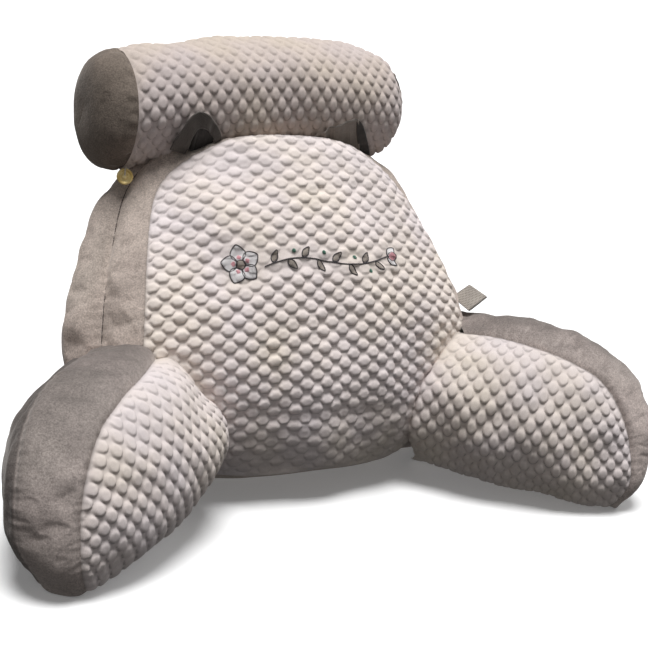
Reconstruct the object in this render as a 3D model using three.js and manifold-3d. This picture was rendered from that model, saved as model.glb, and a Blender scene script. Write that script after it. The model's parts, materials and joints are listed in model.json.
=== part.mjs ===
// Triangle backrest pillow: a wedge-shaped boxed backrest, two splayed boxed
// arms sewn to its lower corners, and a round neck roll held over its top by
// two ribbon ties. Millimetres, +Z up, the sitter's side faces -Y, the floor
// is z = 0 and the pillow is symmetric about x = 0.
import * as THREE from 'three';
import * as BufferGeometryUtils from 'three/addons/utils/BufferGeometryUtils.js';
import Module from 'manifold-3d';

const wasm = await Module();
wasm.setup();

// ---------------------------------------------------------------- sizes
const MIDDLE_Y = 54.6;     // from the front seam's reference line to the middle of the footprint
const GAP = 0.35;          // clearance between neighbouring pieces
const CLEAR = 0.5;         // clearance where an arm meets the backrest
const QUILT = 3.5;         // bubble-quilted fabric with its thin wadding
const VELVET = 2.5;        // velvet gusset strips with their seam backing
const REACH = 4;           // how far a recess runs past the edge of its panel
const FLOOR_EDGE = 3.2;    // lowest edge of the quilted panels above the floor

// Front face of the backrest: how it leans and crowns. Angles are in radians,
// and the lengths are measured along the cloth from a point ORIGIN_Z high.
const ORIGIN_Z = 197.6;
const UNIT = 104;
const LEAN = { a0: 0.371, a1: 0.223, a2: -0.11, a3: 0.03 };
const CROWN = { k0: 0.174, k1: 0.039, k2: 0.078, k3: 0.004 };
const BOTTOM_V = -166;     // bottom edge of the front face, along the cloth
const FOOT_DROP = 17;      // the bottom edge hangs lower towards the arms
const CORNER_V = 196.6;    // where the side seam turns into the top seam
const CORNER_U = 122.6;

// Half width of the backrest's front face at each height along the cloth.
const SIDE = { v: [-166, -130, -74, -21, 34, 89, 142, 167, 182, 187, 196.6],
               half: [172, 190, 200, 202.5, 195.5, 186, 174, 163.8, 150.3, 142.4, 122.6] };
// Half width of the quilted front panel, cut away below for the arms.
const PANEL = { v: [-166, -150, -129, -104, -83, -63, -44, -29, -21, 34, 89, 142, 167, 182, 187, 196.6],
                half: [137, 129, 124.5, 127, 133, 146.5, 161.5, 186, 202.5, 195.5, 186, 174, 163.8, 150.3, 142.4, 122.6] };
// Top seam of the front face.
const TOP = { u: [0, 39.6, 79.1, 98.9, 122.6], v: [213.2, 212.2, 209, 203.8, 196.6] };

// Seam between the side gusset and the back, at the same heights.
const GUSSET_SIDE = { v: [-166, -139, -74, -21, 34, 89, 142, 167, 182, 196.6],
                      x: [192, 216, 225, 222, 214, 200, 186, 175, 162, 134],
                      y: [92, 70, 71, 78, 96, 119, 140, 150, 156, 162],
                      z: [0, 45, 108, 161, 207, 247, 285, 307, 324, 346] };
const GUSSET_TOP = { u: [0, 39.6, 79.1, 98.9, 122.6], x: [0, 44, 86, 108, 134],
                     y: [150, 152, 156, 159, 162], z: [362, 361, 357, 353, 346] };
// Fullest line of the side, where the back begins to turn in.
const FULL_SIDE = { v: [-166, -139, -74, -21, 34, 89, 142, 167, 182, 196.6],
                    x: [212, 239, 249, 249, 241, 227, 209, 193, 175, 143],
                    y: [140, 112, 108, 113, 126, 143, 160, 170, 176, 182],
                    z: [0, 45, 104, 151, 196, 237, 275, 296, 312, 331] };
const FULL_TOP = { u: [0, 39.6, 79.1, 98.9, 122.6], x: [0, 46, 92, 116, 143],
                   y: [190, 190, 188, 186, 182], z: [350, 348, 343, 338, 331] };
const BASE_FRONT = 100;     // where the middle of the underside meets the floor
const BASE_BACK = 196;
// Middle of the back, which is the deepest line of the wedge.
const BACK = { v: [-166, -156, -139, -74, -21, 34, 89, 142, 167, 196.6, 213.2],
               y: [196, 214, 226, 230, 228, 224, 218, 211, 206, 199, 190] };

// Right arm; the left one is its mirror image. The inner seam runs along the
// top from the backrest, over the tip and down to the floor.
const ARM_TOP = [[188, 14, 170], [204, -13, 174], [220, -37, 174], [237, -57, 171],
                 [255, -74, 166], [271, -90, 159], [288, -105, 149], [302, -119, 132]];
const ARM_TIP = [[302, -119, 132], [312, -131, 108], [318, -140, 83], [320, -148, 56],
                 [319, -150, 32], [309, -139, 4]];
const ARM_BOTTOM = [[170, 50, 4], [207, 8, 4], [245, -54, 4], [281, -107, 4], [309, -139, 4]];
const ARM_ROOT = [[170, 50, 4], [150, 12, 27], [134, 0, 47], [126, -6, 70], [125, -8, 94], [131, -8, 115],
                  [145, -4, 135], [162, 3, 156], [176, 10, 166], [188, 14, 170]];
// The outer seam, point for point beside the inner one.
const OUT_TOP = [[227, 94, 162], [243, 60, 171], [263, 24, 178], [285, -8, 179],
                 [306, -32, 175], [325, -53, 168], [342, -73, 156], [355, -91, 139]];
const OUT_TIP = [[355, -91, 139], [363, -105, 113], [367, -115, 88], [367, -120, 62],
                 [361, -121, 37], [342, -110, 3]];
const OUT_BOTTOM = [[228, 112, 3], [268, 56, 3], [312, -32, 3], [342, -110, 3]];
const OUT_ROOT = [[228, 112, 3], [240, 116, 45], [248, 114, 92], [241, 106, 132], [227, 94, 162]];
const ARM_CROWN_IN = 34;
const ARM_CROWN_OUT = 27;
const ARM_CROWN_GUSSET = 13;
const ROOT_SINK = 26;      // the arm runs on this far inside the backrest

// Neck roll: a round roll along X, arched over the top of the backrest, with
// both ends bent back a little. Its left end swells into a dome and its right
// end, which is rounded off more, is nearly flat.
const ROLL = { mid: -9.8, half: 164.4, radius: 66.4, y: 185.9, z: 403.4, arch: 11.95, rise: 6.25, bow: 9.8, lead: 3.8 };
const DOMED = { '-1': 36, 1: 12 }, DOME_POWER = { '-1': 0.6, 1: 0.5 };

// Resolution of the faceted surfaces.
const N = { across: 10, up: 13, gusset: 2, full: 2, armAlong: 8, armUp: 6, armBand: 4,
            rollRound: 22, rollLong: 10, dome: 4 };

// ---------------------------------------------------------------- helpers
function along(xs, ys, x) {
  const n = xs.length;
  let i = 0;
  while (i < n - 2 && x > xs[i + 1]) i++;
  const slope = (k) => (k <= 0 ? (ys[1] - ys[0]) / (xs[1] - xs[0])
    : k >= n - 1 ? (ys[n - 1] - ys[n - 2]) / (xs[n - 1] - xs[n - 2])
      : (ys[k + 1] - ys[k - 1]) / (xs[k + 1] - xs[k - 1]));
  const h = xs[i + 1] - xs[i];
  const s = (x - xs[i]) / h;
  if (s < 0) return ys[0] + slope(0) * (x - xs[0]);
  if (s > 1) return ys[n - 1] + slope(n - 1) * (x - xs[n - 1]);
  const s2 = s * s, s3 = s2 * s;
  return (2 * s3 - 3 * s2 + 1) * ys[i] + (s3 - 2 * s2 + s) * h * slope(i)
    + (-2 * s3 + 3 * s2) * ys[i + 1] + (s3 - s2) * h * slope(i + 1);
}

function curve3(points) {
  const d = [0];
  for (let i = 1; i < points.length; i++) {
    d.push(d[i - 1] + Math.hypot(...points[i].map((c, k) => c - points[i - 1][k])));
  }
  const cols = [0, 1, 2].map((k) => points.map((p) => p[k]));
  return (t) => new THREE.Vector3(...cols.map((c) => along(d, c, t * d[d.length - 1])));
}

// Grid of points, grid[i][j], from a function of two numbers in 0..1.
function grid(ni, nj, point) {
  const g = [];
  for (let i = 0; i <= ni; i++) {
    g.push([]);
    for (let j = 0; j <= nj; j++) g[i].push(point(i / ni, j / nj));
  }
  return g;
}

// Normals of a grid, turned to the side that "sign" asks for.
function normals(g, sign) {
  return g.map((row, i) => row.map((p, j) => {
    const a = g[Math.min(i + 1, g.length - 1)][j].clone().sub(g[Math.max(i - 1, 0)][j]);
    const b = g[i][Math.min(j + 1, row.length - 1)].clone().sub(g[i][Math.max(j - 1, 0)]);
    return a.cross(b).normalize().multiplyScalar(sign);
  }));
}

// The same grid with one more row of points past each chosen edge.
function extended(g, by, edges) {
  const past = (p, q, d) => p.clone().add(p.clone().sub(q).normalize().multiplyScalar(d));
  let out = g.map((row) => row.slice());
  if (edges.j0) out = out.map((row) => [past(row[0], row[1], by), ...row]);
  if (edges.j1) out = out.map((row) => [...row, past(row[row.length - 1], row[row.length - 2], by)]);
  if (edges.i0) out = [out[0].map((p, j) => past(p, out[1][j], by)), ...out];
  if (edges.i1) {
    const m = out.length - 1;
    out = [...out, out[m].map((p, j) => past(p, out[m - 1][j], by))];
  }
  return out;
}

function toGeometry(points, faces) {
  const pos = new Float32Array(points.flatMap((p) => [p.x, p.y, p.z]));
  let geo = new THREE.BufferGeometry();
  geo.setAttribute('position', new THREE.BufferAttribute(pos, 3));
  geo.setIndex(faces.flat());
  return BufferGeometryUtils.mergeVertices(geo, 1e-3);
}

function toSolid(geo) {
  const g = geo.clone();
  g.deleteAttribute('normal');
  g.deleteAttribute('uv');
  const m = BufferGeometryUtils.mergeVertices(g, 1e-3);
  const tri = [];
  const ix = m.index.array;
  for (let k = 0; k < ix.length; k += 3) {
    if (ix[k] !== ix[k + 1] && ix[k + 1] !== ix[k + 2] && ix[k] !== ix[k + 2]) tri.push(ix[k], ix[k + 1], ix[k + 2]);
  }
  const solid = new wasm.Manifold(new wasm.Mesh({
    numProp: 3, vertProperties: new Float32Array(m.attributes.position.array), triVerts: new Uint32Array(tri),
  }));
  if (solid.volume() < 0) throw new Error('inside out');
  return solid;
}

// The largest body of a solid, as a geometry.
function fromSolid(solid) {
  const parts = solid.decompose().sort((a, b) => b.volume() - a.volume());
  const mesh = parts[0].simplify(0.15).getMesh();
  const geo = new THREE.BufferGeometry();
  geo.setAttribute('position', new THREE.BufferAttribute(new Float32Array(mesh.vertProperties), 3));
  geo.setIndex([...mesh.triVerts]);
  return geo;
}

// A closed layer that follows a grid: "up" above it and "down" below it.
function layer(g, n, up, down) {
  const ni = g.length, nj = g[0].length;
  const pts = [], faces = [];
  const id = (s, i, j) => s * ni * nj + i * nj + j;
  for (const s of [0, 1]) {
    for (let i = 0; i < ni; i++) {
      for (let j = 0; j < nj; j++) pts.push(g[i][j].clone().addScaledVector(n[i][j], s === 0 ? up : -down));
    }
  }
  const quad = (a, b, c, d) => faces.push([a, b, c], [a, c, d]);
  const flip = Math.sign(orientation(g, n));
  const q = (a, b, c, d) => (flip > 0 ? quad(a, b, c, d) : quad(d, c, b, a));
  for (let i = 0; i < ni - 1; i++) {
    for (let j = 0; j < nj - 1; j++) {
      q(id(0, i, j), id(0, i + 1, j), id(0, i + 1, j + 1), id(0, i, j + 1));
      q(id(1, i, j + 1), id(1, i + 1, j + 1), id(1, i + 1, j), id(1, i, j));
    }
  }
  for (let i = 0; i < ni - 1; i++) {
    q(id(1, i, 0), id(1, i + 1, 0), id(0, i + 1, 0), id(0, i, 0));
    q(id(0, i, nj - 1), id(0, i + 1, nj - 1), id(1, i + 1, nj - 1), id(1, i, nj - 1));
  }
  for (let j = 0; j < nj - 1; j++) {
    q(id(0, 0, j), id(0, 0, j + 1), id(1, 0, j + 1), id(1, 0, j));
    q(id(1, ni - 1, j), id(1, ni - 1, j + 1), id(0, ni - 1, j + 1), id(0, ni - 1, j));
  }
  return toSolid(toGeometry(pts, faces));
}

function orientation(g, n) {
  let s = 0;
  for (let i = 0; i < g.length - 1; i++) {
    for (let j = 0; j < g[0].length - 1; j++) {
      const a = g[i + 1][j].clone().sub(g[i][j]), b = g[i][j + 1].clone().sub(g[i][j]);
      s += a.cross(b).dot(n[i][j]);
    }
  }
  return s;
}

// A closed boxed cushion: a face grid, a far face grid of the same size, and
// rings of points between their edges. swell moves each shell point.
function boxed(face, far, rings, swell) {
  const ni = face.length - 1, nj = face[0].length - 1;
  const loop = [];
  for (let i = 0; i < ni; i++) loop.push([i, 0]);
  for (let j = 0; j < nj; j++) loop.push([ni, j]);
  for (let i = ni; i > 0; i--) loop.push([i, nj]);
  for (let j = nj; j > 0; j--) loop.push([0, j]);
  const pts = [], faces = [];
  const key = (g) => g.map((row) => row.map((p) => pts.push(p) - 1));
  const fa = key(face), fb = key(far);
  const bands = [loop.map(([i, j]) => fa[i][j]),
    ...rings.map((r) => loop.map(([i, j]) => pts.push(r(i, j)) - 1)),
    loop.map(([i, j]) => fb[i][j])];
  for (let i = 0; i < ni; i++) {
    for (let j = 0; j < nj; j++) {
      faces.push([fa[i][j], fa[i + 1][j], fa[i + 1][j + 1]], [fa[i][j], fa[i + 1][j + 1], fa[i][j + 1]]);
      faces.push([fb[i][j], fb[i + 1][j + 1], fb[i + 1][j]], [fb[i][j], fb[i][j + 1], fb[i + 1][j + 1]]);
    }
  }
  for (let k = 0; k < bands.length - 1; k++) {
    for (let m = 0; m < loop.length; m++) {
      const a = bands[k][m], b = bands[k][(m + 1) % loop.length];
      const c = bands[k + 1][(m + 1) % loop.length], d = bands[k + 1][m];
      faces.push([a, c, b], [a, d, c]);
    }
  }
  let geo = toGeometry(pts, faces);
  if (swell) {
    geo.computeVertexNormals();
    const p = geo.attributes.position, q = geo.attributes.normal;
    for (let k = 0; k < p.count; k++) {
      p.setXYZ(k, p.getX(k) + q.getX(k) * swell, p.getY(k) + q.getY(k) * swell, p.getZ(k) + q.getZ(k) * swell);
    }
  }
  return toSolid(geo);
}

// ---------------------------------------------------------------- backrest
// Point of the front face, u across and v up, both along the cloth.
function frontPoint(u, v) {
  const steps = 24;
  const k = CROWN.k0 + CROWN.k1 * v / UNIT + CROWN.k2 * (v / UNIT) ** 2;
  const tilt = (q) => LEAN.a0 + LEAN.a1 * q / UNIT + LEAN.a2 * (q / UNIT) ** 2 + LEAN.a3 * (q / UNIT) ** 3;
  let x = 0, w = 0, y = 0, z = 0;
  for (let s = 0; s < steps; s++) {
    const t = (s + 0.5) / steps;
    const bend = k * t * u / UNIT + CROWN.k3 * (t * u / UNIT) ** 3;
    x += Math.cos(bend) * u / steps;
    w += Math.sin(bend) * u / steps;
    y += Math.sin(tilt(t * v)) * v / steps;
    z += Math.cos(tilt(t * v)) * v / steps;
  }
  const a = tilt(v);
  return new THREE.Vector3(x, y + w * Math.cos(a), ORIGIN_Z + z - w * Math.sin(a));
}

const rowV = (t) => BOTTOM_V + (CORNER_V - BOTTOM_V) * t;
function faceUV(i, j, table) {
  const v = rowV(j);
  const u = (2 * i - 1) * along(table.v, table.half, v);
  const top = along(TOP.u, TOP.v, Math.abs(2 * i - 1) * CORNER_U) - CORNER_V;
  return [u, v + top * j * j - FOOT_DROP * Math.abs(u / 120) ** 1.5 * (1 - j) ** 4];
}
const facePoint = (i, j, table) => frontPoint(...faceUV(i, j, table));

// Points of the gusset seam and of the fullest line around the front face.
function ringPoint(i, j, side, top, depth) {
  const q = 2 * i - 1, sgn = Math.sign(q) || 1;
  if (j >= 1) {
    const u = Math.abs(q) * CORNER_U;
    return new THREE.Vector3(sgn * along(top.u, top.x, u), along(top.u, top.y, u), along(top.u, top.z, u));
  }
  const v = rowV(j);
  if (j <= 0) {
    const x = side.x[0];
    const y = depth.mid + (side.y[0] - depth.mid) * Math.abs(q) ** 2.5;
    return new THREE.Vector3(x * q, y, 0);
  }
  return new THREE.Vector3(sgn * along(side.v, side.x, v), along(side.v, side.y, v), along(side.v, side.z, v));
}
const seamRing = (i, j) => ringPoint(i, j, GUSSET_SIDE, GUSSET_TOP, { mid: BASE_FRONT });
const fullRing = (i, j) => ringPoint(i, j, FULL_SIDE, FULL_TOP, { mid: BASE_BACK });

function backPoint(i, j) {
  const q = 2 * i - 1;
  const edge = ringPoint(q < 0 ? 0 : 1, Math.min(Math.max(j, 1e-6), 1 - 1e-6), FULL_SIDE, FULL_TOP, { mid: BASE_BACK });
  const x = Math.abs(edge.x) * q;
  const top = along(FULL_TOP.u, FULL_TOP.z, Math.abs(q) * CORNER_U) - FULL_TOP.z[FULL_TOP.z.length - 1];
  const z = edge.z + top * j * j;
  const deep = along(BACK.v, BACK.y, rowV(j) + (213.2 - CORNER_V) * j * j);
  const lobe = (1 - Math.abs(q) ** 2.6) ** 0.62;
  return new THREE.Vector3(x, edge.y + (deep - edge.y) * lobe, z);
}

// Gusset strip point: t runs from the front seam (0) to the gusset seam (1).
function bandPoint(i, j, t) {
  const a = facePoint(i, j, SIDE), b = seamRing(i, j);
  const p = a.clone().lerp(b, t);
  const q = 2 * i - 1;
  const puff = 5 * Math.sin(Math.PI * Math.min(Math.max(t, 0), 1));
  if (j >= 1) p.z += puff * (1 - 0.4 * Math.abs(q));
  else if (j <= 0) p.z = a.z * (1 - t) * (1 - 0.35 * t);
  else p.x += Math.sign(q) * puff;
  return p;
}
function fullPoint(i, j, t) {
  const a = seamRing(i, j), b = fullRing(i, j);
  const p = a.clone().lerp(b, t);
  const q = 2 * i - 1;
  const puff = 5 * Math.sin(Math.PI * t);
  if (j >= 1) p.z += puff; else if (j > 0) p.x += Math.sign(q) * puff;
  return p;
}

function backrestSolid(swell) {
  const face = grid(N.across, N.up, (i, j) => facePoint(i, j, SIDE));
  const far = grid(N.across, N.up, (i, j) => (i === 0 || i === 1 || j === 0 || j === 1
    ? fullRing(i, j) : backPoint(i, j)));
  const rings = [];
  for (let k = 1; k <= N.gusset; k++) rings.push((i, j) => bandPoint(i / N.across, j / N.up, k / N.gusset));
  for (let k = 1; k < N.full; k++) rings.push((i, j) => fullPoint(i / N.across, j / N.up, k / N.full));
  return boxed(face, far, rings, swell);
}

// ---------------------------------------------------------------- arms
// Four-sided patch between four edge curves.
function coons(c) {
  const p00 = c.root(0), p01 = c.root(1), p10 = c.tip(0), p11 = c.tip(1);
  return (i, j) => {
    const out = c.root(j).multiplyScalar(1 - i).addScaledVector(c.tip(j), i)
      .addScaledVector(c.bottom(i), 1 - j).addScaledVector(c.top(i), j);
    return out.addScaledVector(p00, -(1 - i) * (1 - j)).addScaledVector(p01, -(1 - i) * j)
      .addScaledVector(p10, -i * (1 - j)).addScaledVector(p11, -i * j);
  };
}
const reversed = (f) => (t) => f(1 - t);
const innerEdges = { top: curve3(ARM_TOP), tip: reversed(curve3(ARM_TIP)), bottom: curve3(ARM_BOTTOM), root: curve3(ARM_ROOT) };
const outerEdges = { top: curve3(OUT_TOP), tip: reversed(curve3(OUT_TIP)), bottom: curve3(OUT_BOTTOM), root: curve3(OUT_ROOT) };
const innerPatch = coons(innerEdges), outerPatch = coons(outerEdges);
const bulge = (t) => Math.max(4 * t * (1 - t), 0) ** 0.7;
const INWARD = new THREE.Vector3(-0.779, -0.627, 0), OUTWARD = new THREE.Vector3(0.85, 0.35, 0).normalize();

function armInner(i, j) {
  const p = innerPatch(i, j).addScaledVector(INWARD, ARM_CROWN_IN * bulge(0.04 + 0.96 * i) * bulge(j ** 0.6));
  p.z = Math.max(p.z, 0);
  return p;
}
function armOuter(i, j) {
  const p = outerPatch(i, j).addScaledVector(OUTWARD, ARM_CROWN_OUT * bulge(0.3 + 0.7 * i) * bulge(0.24 + 0.76 * j));
  p.z = Math.max(p.z, 0);
  return p;
}
// Gusset of the arm: t runs from the inner seam (0) to the outer seam (1).
function armBand(i, j, t) {
  const a = armInner(i, j), b = armOuter(i, j);
  const p = a.clone().lerp(b, t);
  const e = 0.02;
  const ahead = (d) => {
    if (j >= 1 && i < 1) return armInner(Math.min(i + d, 1), 1).lerp(armOuter(Math.min(i + d, 1), 1), t);
    return armInner(1, Math.max(Math.min(j - d, 1), 0)).lerp(armOuter(1, Math.max(Math.min(j - d, 1), 0)), t);
  };
  if (j <= 0 && i < 1) { p.z = 0; return p; }
  if (i <= 0 && j < 1) return p;
  const dir = ahead(e).sub(p).length() > 1e-6 ? ahead(e).sub(ahead(-e)) : new THREE.Vector3(0, 0, -1);
  const up = b.clone().sub(a).cross(dir).normalize();
  const low = i >= 1 ? 0.5 + 0.5 * Math.min(j * 2, 1) : 1;
  p.addScaledVector(up, -ARM_CROWN_GUSSET * bulge(t) * (j <= 0 ? 0 : low));
  if (j <= 0) p.z = 0;
  return p;
}

function armSolid() {
  const sinkIn = new THREE.Vector3(0, 1, 0), sinkOut = new THREE.Vector3(-1, 0, 0);
  const ni = N.armAlong + 1;
  const at = (i) => Math.max(0, i - 1) / N.armAlong;
  const face = grid(ni, N.armUp, (a, j) => {
    const i = Math.round(a * ni);
    const p = armInner(at(i), j);
    return i === 0 ? p.addScaledVector(sinkIn, ROOT_SINK) : p;
  });
  const far = grid(ni, N.armUp, (a, j) => {
    const i = Math.round(a * ni);
    const p = armOuter(at(i), j);
    return i === 0 ? p.addScaledVector(sinkOut, ROOT_SINK) : p;
  });
  const rings = [];
  for (let k = 1; k < N.armBand; k++) {
    const t = k / N.armBand;
    rings.push((i, j) => {
      const p = i === 0 || (i > 0 && j > 0 && j < N.armUp && i < ni)
        ? face[i][j].clone().lerp(far[i][j], t) : armBand(at(i), j / N.armUp, t);
      if (i === 0 && j === N.armUp) p.z += ARM_CROWN_GUSSET * bulge(t);
      if (i === 0 && j === 0) p.z = 0;
      return p;
    });
  }
  return boxed(face, far, rings, 0);
}


// ---------------------------------------------------------------- neck roll
const rollShare = (x) => Math.min(Math.max((x - ROLL.mid) / ROLL.half, -1), 1);
function rollAxis(x) {
  const q = rollShare(x);
  return new THREE.Vector3(x, ROLL.y + ROLL.bow * q * q + ROLL.lead * q, ROLL.z - ROLL.arch * q * q + ROLL.rise * q);
}
function rollPoint(x, a, r) {
  return rollAxis(x).add(new THREE.Vector3(0, r * Math.cos(a), r * Math.sin(a)));
}
// A closed body of revolution about the bent axis, from rows of x and radius.
function rollBody(rows) {
  const m = N.rollRound;
  const pts = [], faces = [];
  for (const [x, r] of rows) {
    for (let k = 0; k < m; k++) pts.push(rollPoint(x, 2 * Math.PI * k / m, r));
  }
  const first = pts.push(rollPoint(rows[0][0], 0, 0)) - 1;
  const last = pts.push(rollPoint(rows[rows.length - 1][0], 0, 0)) - 1;
  for (let s = 0; s < rows.length - 1; s++) {
    for (let k = 0; k < m; k++) {
      const a = s * m + k, b = s * m + (k + 1) % m, c = a + m, d = b + m;
      faces.push([a, b, d], [a, d, c]);
    }
  }
  for (let k = 0; k < m; k++) {
    faces.push([first, (k + 1) % m, k]);
    const e = (rows.length - 1) * m;
    faces.push([last, e + k, e + (k + 1) % m]);
  }
  return toSolid(toGeometry(pts, faces));
}
function rollRadius(x) {
  const q = rollShare(x);
  return ROLL.radius - (q < 0 ? 3 * q * q : 5 * q ** 5 + 6 * q ** 14);
}
function rollSolid(swell) {
  const rows = [];
  for (let s = 0; s <= N.rollLong; s++) {
    const x = ROLL.mid + ROLL.half * Math.sin((s / N.rollLong - 0.5) * 2.2) / Math.sin(1.1);
    rows.push([x, rollRadius(x) + swell]);
  }
  return rollBody(rows);
}
function domeSolid(side, swell) {
  const rows = [];
  for (let s = 0; s <= N.dome; s++) {
    const f = s / (N.dome + 0.25);
    rows.push([ROLL.mid + side * (ROLL.half + GAP - swell + (DOMED[side] + swell) * Math.sin(f * Math.PI / 2)),
      rollRadius(ROLL.mid + side * ROLL.half) * Math.cos(f * Math.PI / 2) ** DOME_POWER[side] + swell]);
  }
  if (side < 0) rows.reverse();
  return rollBody(rows);
}

// Ribbon tie: a flat strip that lies on the roll as an upturned V. Places on
// the roll are given as x along it and an angle below its front line.
const TIES = [
  { name: 'roll_tie_left', path: [[-126.5, 39], [-123.5, 31], [-118, 16], [-111, 7], [-103, 6.5], [-94, 13.5], [-86.5, 25], [-81.5, 33]] },
  { name: 'roll_tie_right', path: [[53, 41], [65, 32], [77.5, 22], [88, 16], [96.5, 20], [107, 33], [118, 48]] },
];
const TIE = { width: 13, thick: 1.6 };
const BUTTON = { radius: 8.6, thick: 3.4, eye: 2.2, at: [-180, 143, 323], facing: [-0.379, -0.908, 0.18] };
const TAB = { thick: 2.4, corners: [[202, 62, 198], [224, 62, 211.5], [209, 36, 188], [237, 42, 201.5]] };

// ---------------------------------------------------------------- pieces
const FRONTWARD = new THREE.Vector3(0, -1, 0.3);
function outwardNormals(g, hint) {
  const n = normals(g, 1);
  const mid = n[Math.floor(g.length / 2)][Math.floor(g[0].length / 2)];
  if (mid.dot(hint) < 0) n.forEach((row) => row.forEach((v) => v.multiplyScalar(-1)));
  return n;
}
const swollen = (g, n, by) => g.map((row, i) => row.map((p, j) => p.clone().addScaledVector(n[i][j], by)));

// Everything above a height over the floor.
const aboveFloor = (z) => {
  const box = new THREE.BoxGeometry(1200, 1200, 800);
  box.translate(0, 0, z + 400);
  return toSolid(box);
};
const ground = aboveFloor(0), lift = aboveFloor(FLOOR_EDGE);

const roll = rollSolid(0);
const rollClear = rollSolid(GAP).add(domeSolid(-1, GAP)).add(domeSolid(1, GAP));
const backRaw = backrestSolid(0);

// A grid and its normals with more rows past the chosen edges.
function widened(g, n, by) {
  let out = g, normal = n;
  for (const edge of ['i0', 'i1', 'j0', 'j1']) {
    if (!by[edge]) continue;
    out = extended(out, by[edge], { [edge]: 1 });
    if (edge === 'i0') normal = [normal[0], ...normal];
    if (edge === 'i1') normal = [...normal, normal[normal.length - 1]];
    if (edge === 'j0') normal = normal.map((row) => [row[0], ...row]);
    if (edge === 'j1') normal = normal.map((row) => [...row, row[row.length - 1]]);
  }
  return [out, normal];
}

// Quilted front panel, and the recess that it lies in.
const panelGrid = grid(N.across, N.up, (i, j) => facePoint(i, j, PANEL));
const panelNormals = outwardNormals(panelGrid, FRONTWARD);
const panelRecess = layer(...widened(panelGrid, panelNormals, { i0: REACH, i1: REACH, j0: REACH, j1: REACH }), 9, QUILT + GAP);
const backPanel = layer(panelGrid, panelNormals, 0, QUILT).intersect(lift).subtract(rollClear);

// Velvet gusset of the backrest: up the left side, over the top, down the right.
const GUSSET_FOOT = 0.16;
const gussetRun = [];
for (let k = 0; k <= N.up - 3; k++) gussetRun.push([0, GUSSET_FOOT + (1 - GUSSET_FOOT) * k / (N.up - 3)]);
for (let k = 1; k <= N.across; k++) gussetRun.push([k / N.across, 1]);
for (let k = 1; k <= N.up - 3; k++) gussetRun.push([1, 1 - (1 - GUSSET_FOOT) * k / (N.up - 3)]);
const gussetGrid = gussetRun.map(([i, j]) => [0, 0.5, 1].map((t) => bandPoint(i, j, t)));
const gussetNormals = outwardNormals(gussetGrid, new THREE.Vector3(0, 0, 1));
const gussetRecess = layer(...widened(gussetGrid, gussetNormals, { i0: REACH, i1: REACH, j0: REACH, j1: 0.5 }), 7, VELVET + GAP);
const backGusset = layer(gussetGrid, gussetNormals, 0, VELVET).subtract(panelRecess)
  .subtract(rollClear).intersect(lift);
const backBody = backRaw.subtract(panelRecess).subtract(gussetRecess).subtract(rollClear).intersect(ground);
const wide = { i0: CLEAR, i1: CLEAR, j0: CLEAR, j1: CLEAR };
const backClear = backrestSolid(CLEAR).add(layer(...widened(panelGrid, panelNormals, wide), CLEAR, QUILT))
  .add(layer(...widened(gussetGrid, gussetNormals, wide), CLEAR, VELVET));

// Arms, their quilted inner panels and their velvet gussets.
const mirrored = (solid, side) => (side < 0 ? solid.mirror([1, 0, 0]) : solid);
const innerGrid = grid(N.armAlong, N.armUp, armInner);
const innerNormals = outwardNormals(innerGrid, INWARD);
const innerRecess = layer(...widened(innerGrid, innerNormals, { i0: REACH, i1: REACH, j0: 12, j1: REACH }), 9, QUILT + GAP)
  .add(layer(...widened(innerGrid, innerNormals, wide), CLEAR, QUILT + GAP));
const innerPanelRaw = layer(innerGrid, innerNormals, 0, QUILT).intersect(lift);
const bandRun = [];
for (let k = 0; k <= N.armAlong; k++) bandRun.push([k / N.armAlong, 1]);
for (let k = 1; k <= N.armUp; k++) bandRun.push([1, Math.max(1 - k / N.armUp, 0.07)]);
const bandGrid = bandRun.map(([i, j]) => [0, 0.33, 0.67, 1].map((t) => armBand(i, j, t)));
const bandNormals = outwardNormals(bandGrid, new THREE.Vector3(0.4, -0.4, 0.5));
const bandRecess = layer(...widened(bandGrid, bandNormals, { i0: REACH, i1: REACH, j0: REACH, j1: 0.5 }), 7, VELVET + GAP);
const armGussetRaw = layer(bandGrid, bandNormals, 0, VELVET).subtract(innerRecess).intersect(lift);
const NUDGES = [[0.3, 0, 0], [-0.3, 0, 0], [0, 0.3, 0], [0, -0.3, 0], [0, 0, 0.3], [0, 0, -0.3]];
const armBodyRaw = NUDGES.reduce((body, d) => body.subtract(innerPanelRaw.translate(d)),
  armSolid().subtract(innerRecess).subtract(bandRecess)).intersect(ground);
const armPiece = (solid, side) => mirrored(solid, side).subtract(backClear);

// Ribbon ties.
const rollAround = rollSolid(CLEAR);
function rollSurface(x, below, up) {
  return rollPoint(x, Math.PI + THREE.MathUtils.degToRad(below), rollRadius(x) + up);
}
function tieSolid(path) {
  const at = [0, 1].map((k) => path.map((p) => p[k]));
  const d = path.map((p, i) => i);
  const steps = 12;
  const rows = [];
  for (let s = 0; s <= steps; s++) {
    const t = (path.length - 1) * s / steps;
    const x = along(d, at[0], t), b = along(d, at[1], t);
    const e = 0.02;
    const p = rollSurface(x, b, 0);
    const q = rollSurface(along(d, at[0], t + e), along(d, at[1], t + e), 0);
    const out = p.clone().sub(rollAxis(p.x)).normalize();
    const side = q.sub(p).normalize().cross(out).normalize();
    rows.push([-1, 0, 1].map((w) => {
      const r = p.clone().addScaledVector(side, w * TIE.width / 2);
      const c = rollAxis(r.x);
      const v = r.sub(c).normalize();
      return c.addScaledVector(v, rollRadius(x) + GAP + 0.5);
    }));
  }
  return layer(rows, outwardNormals(rows, new THREE.Vector3(0, -1, 0)), TIE.thick, 0)
    .subtract(backClear).subtract(rollAround).intersect(aboveFloor(300));
}

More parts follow.
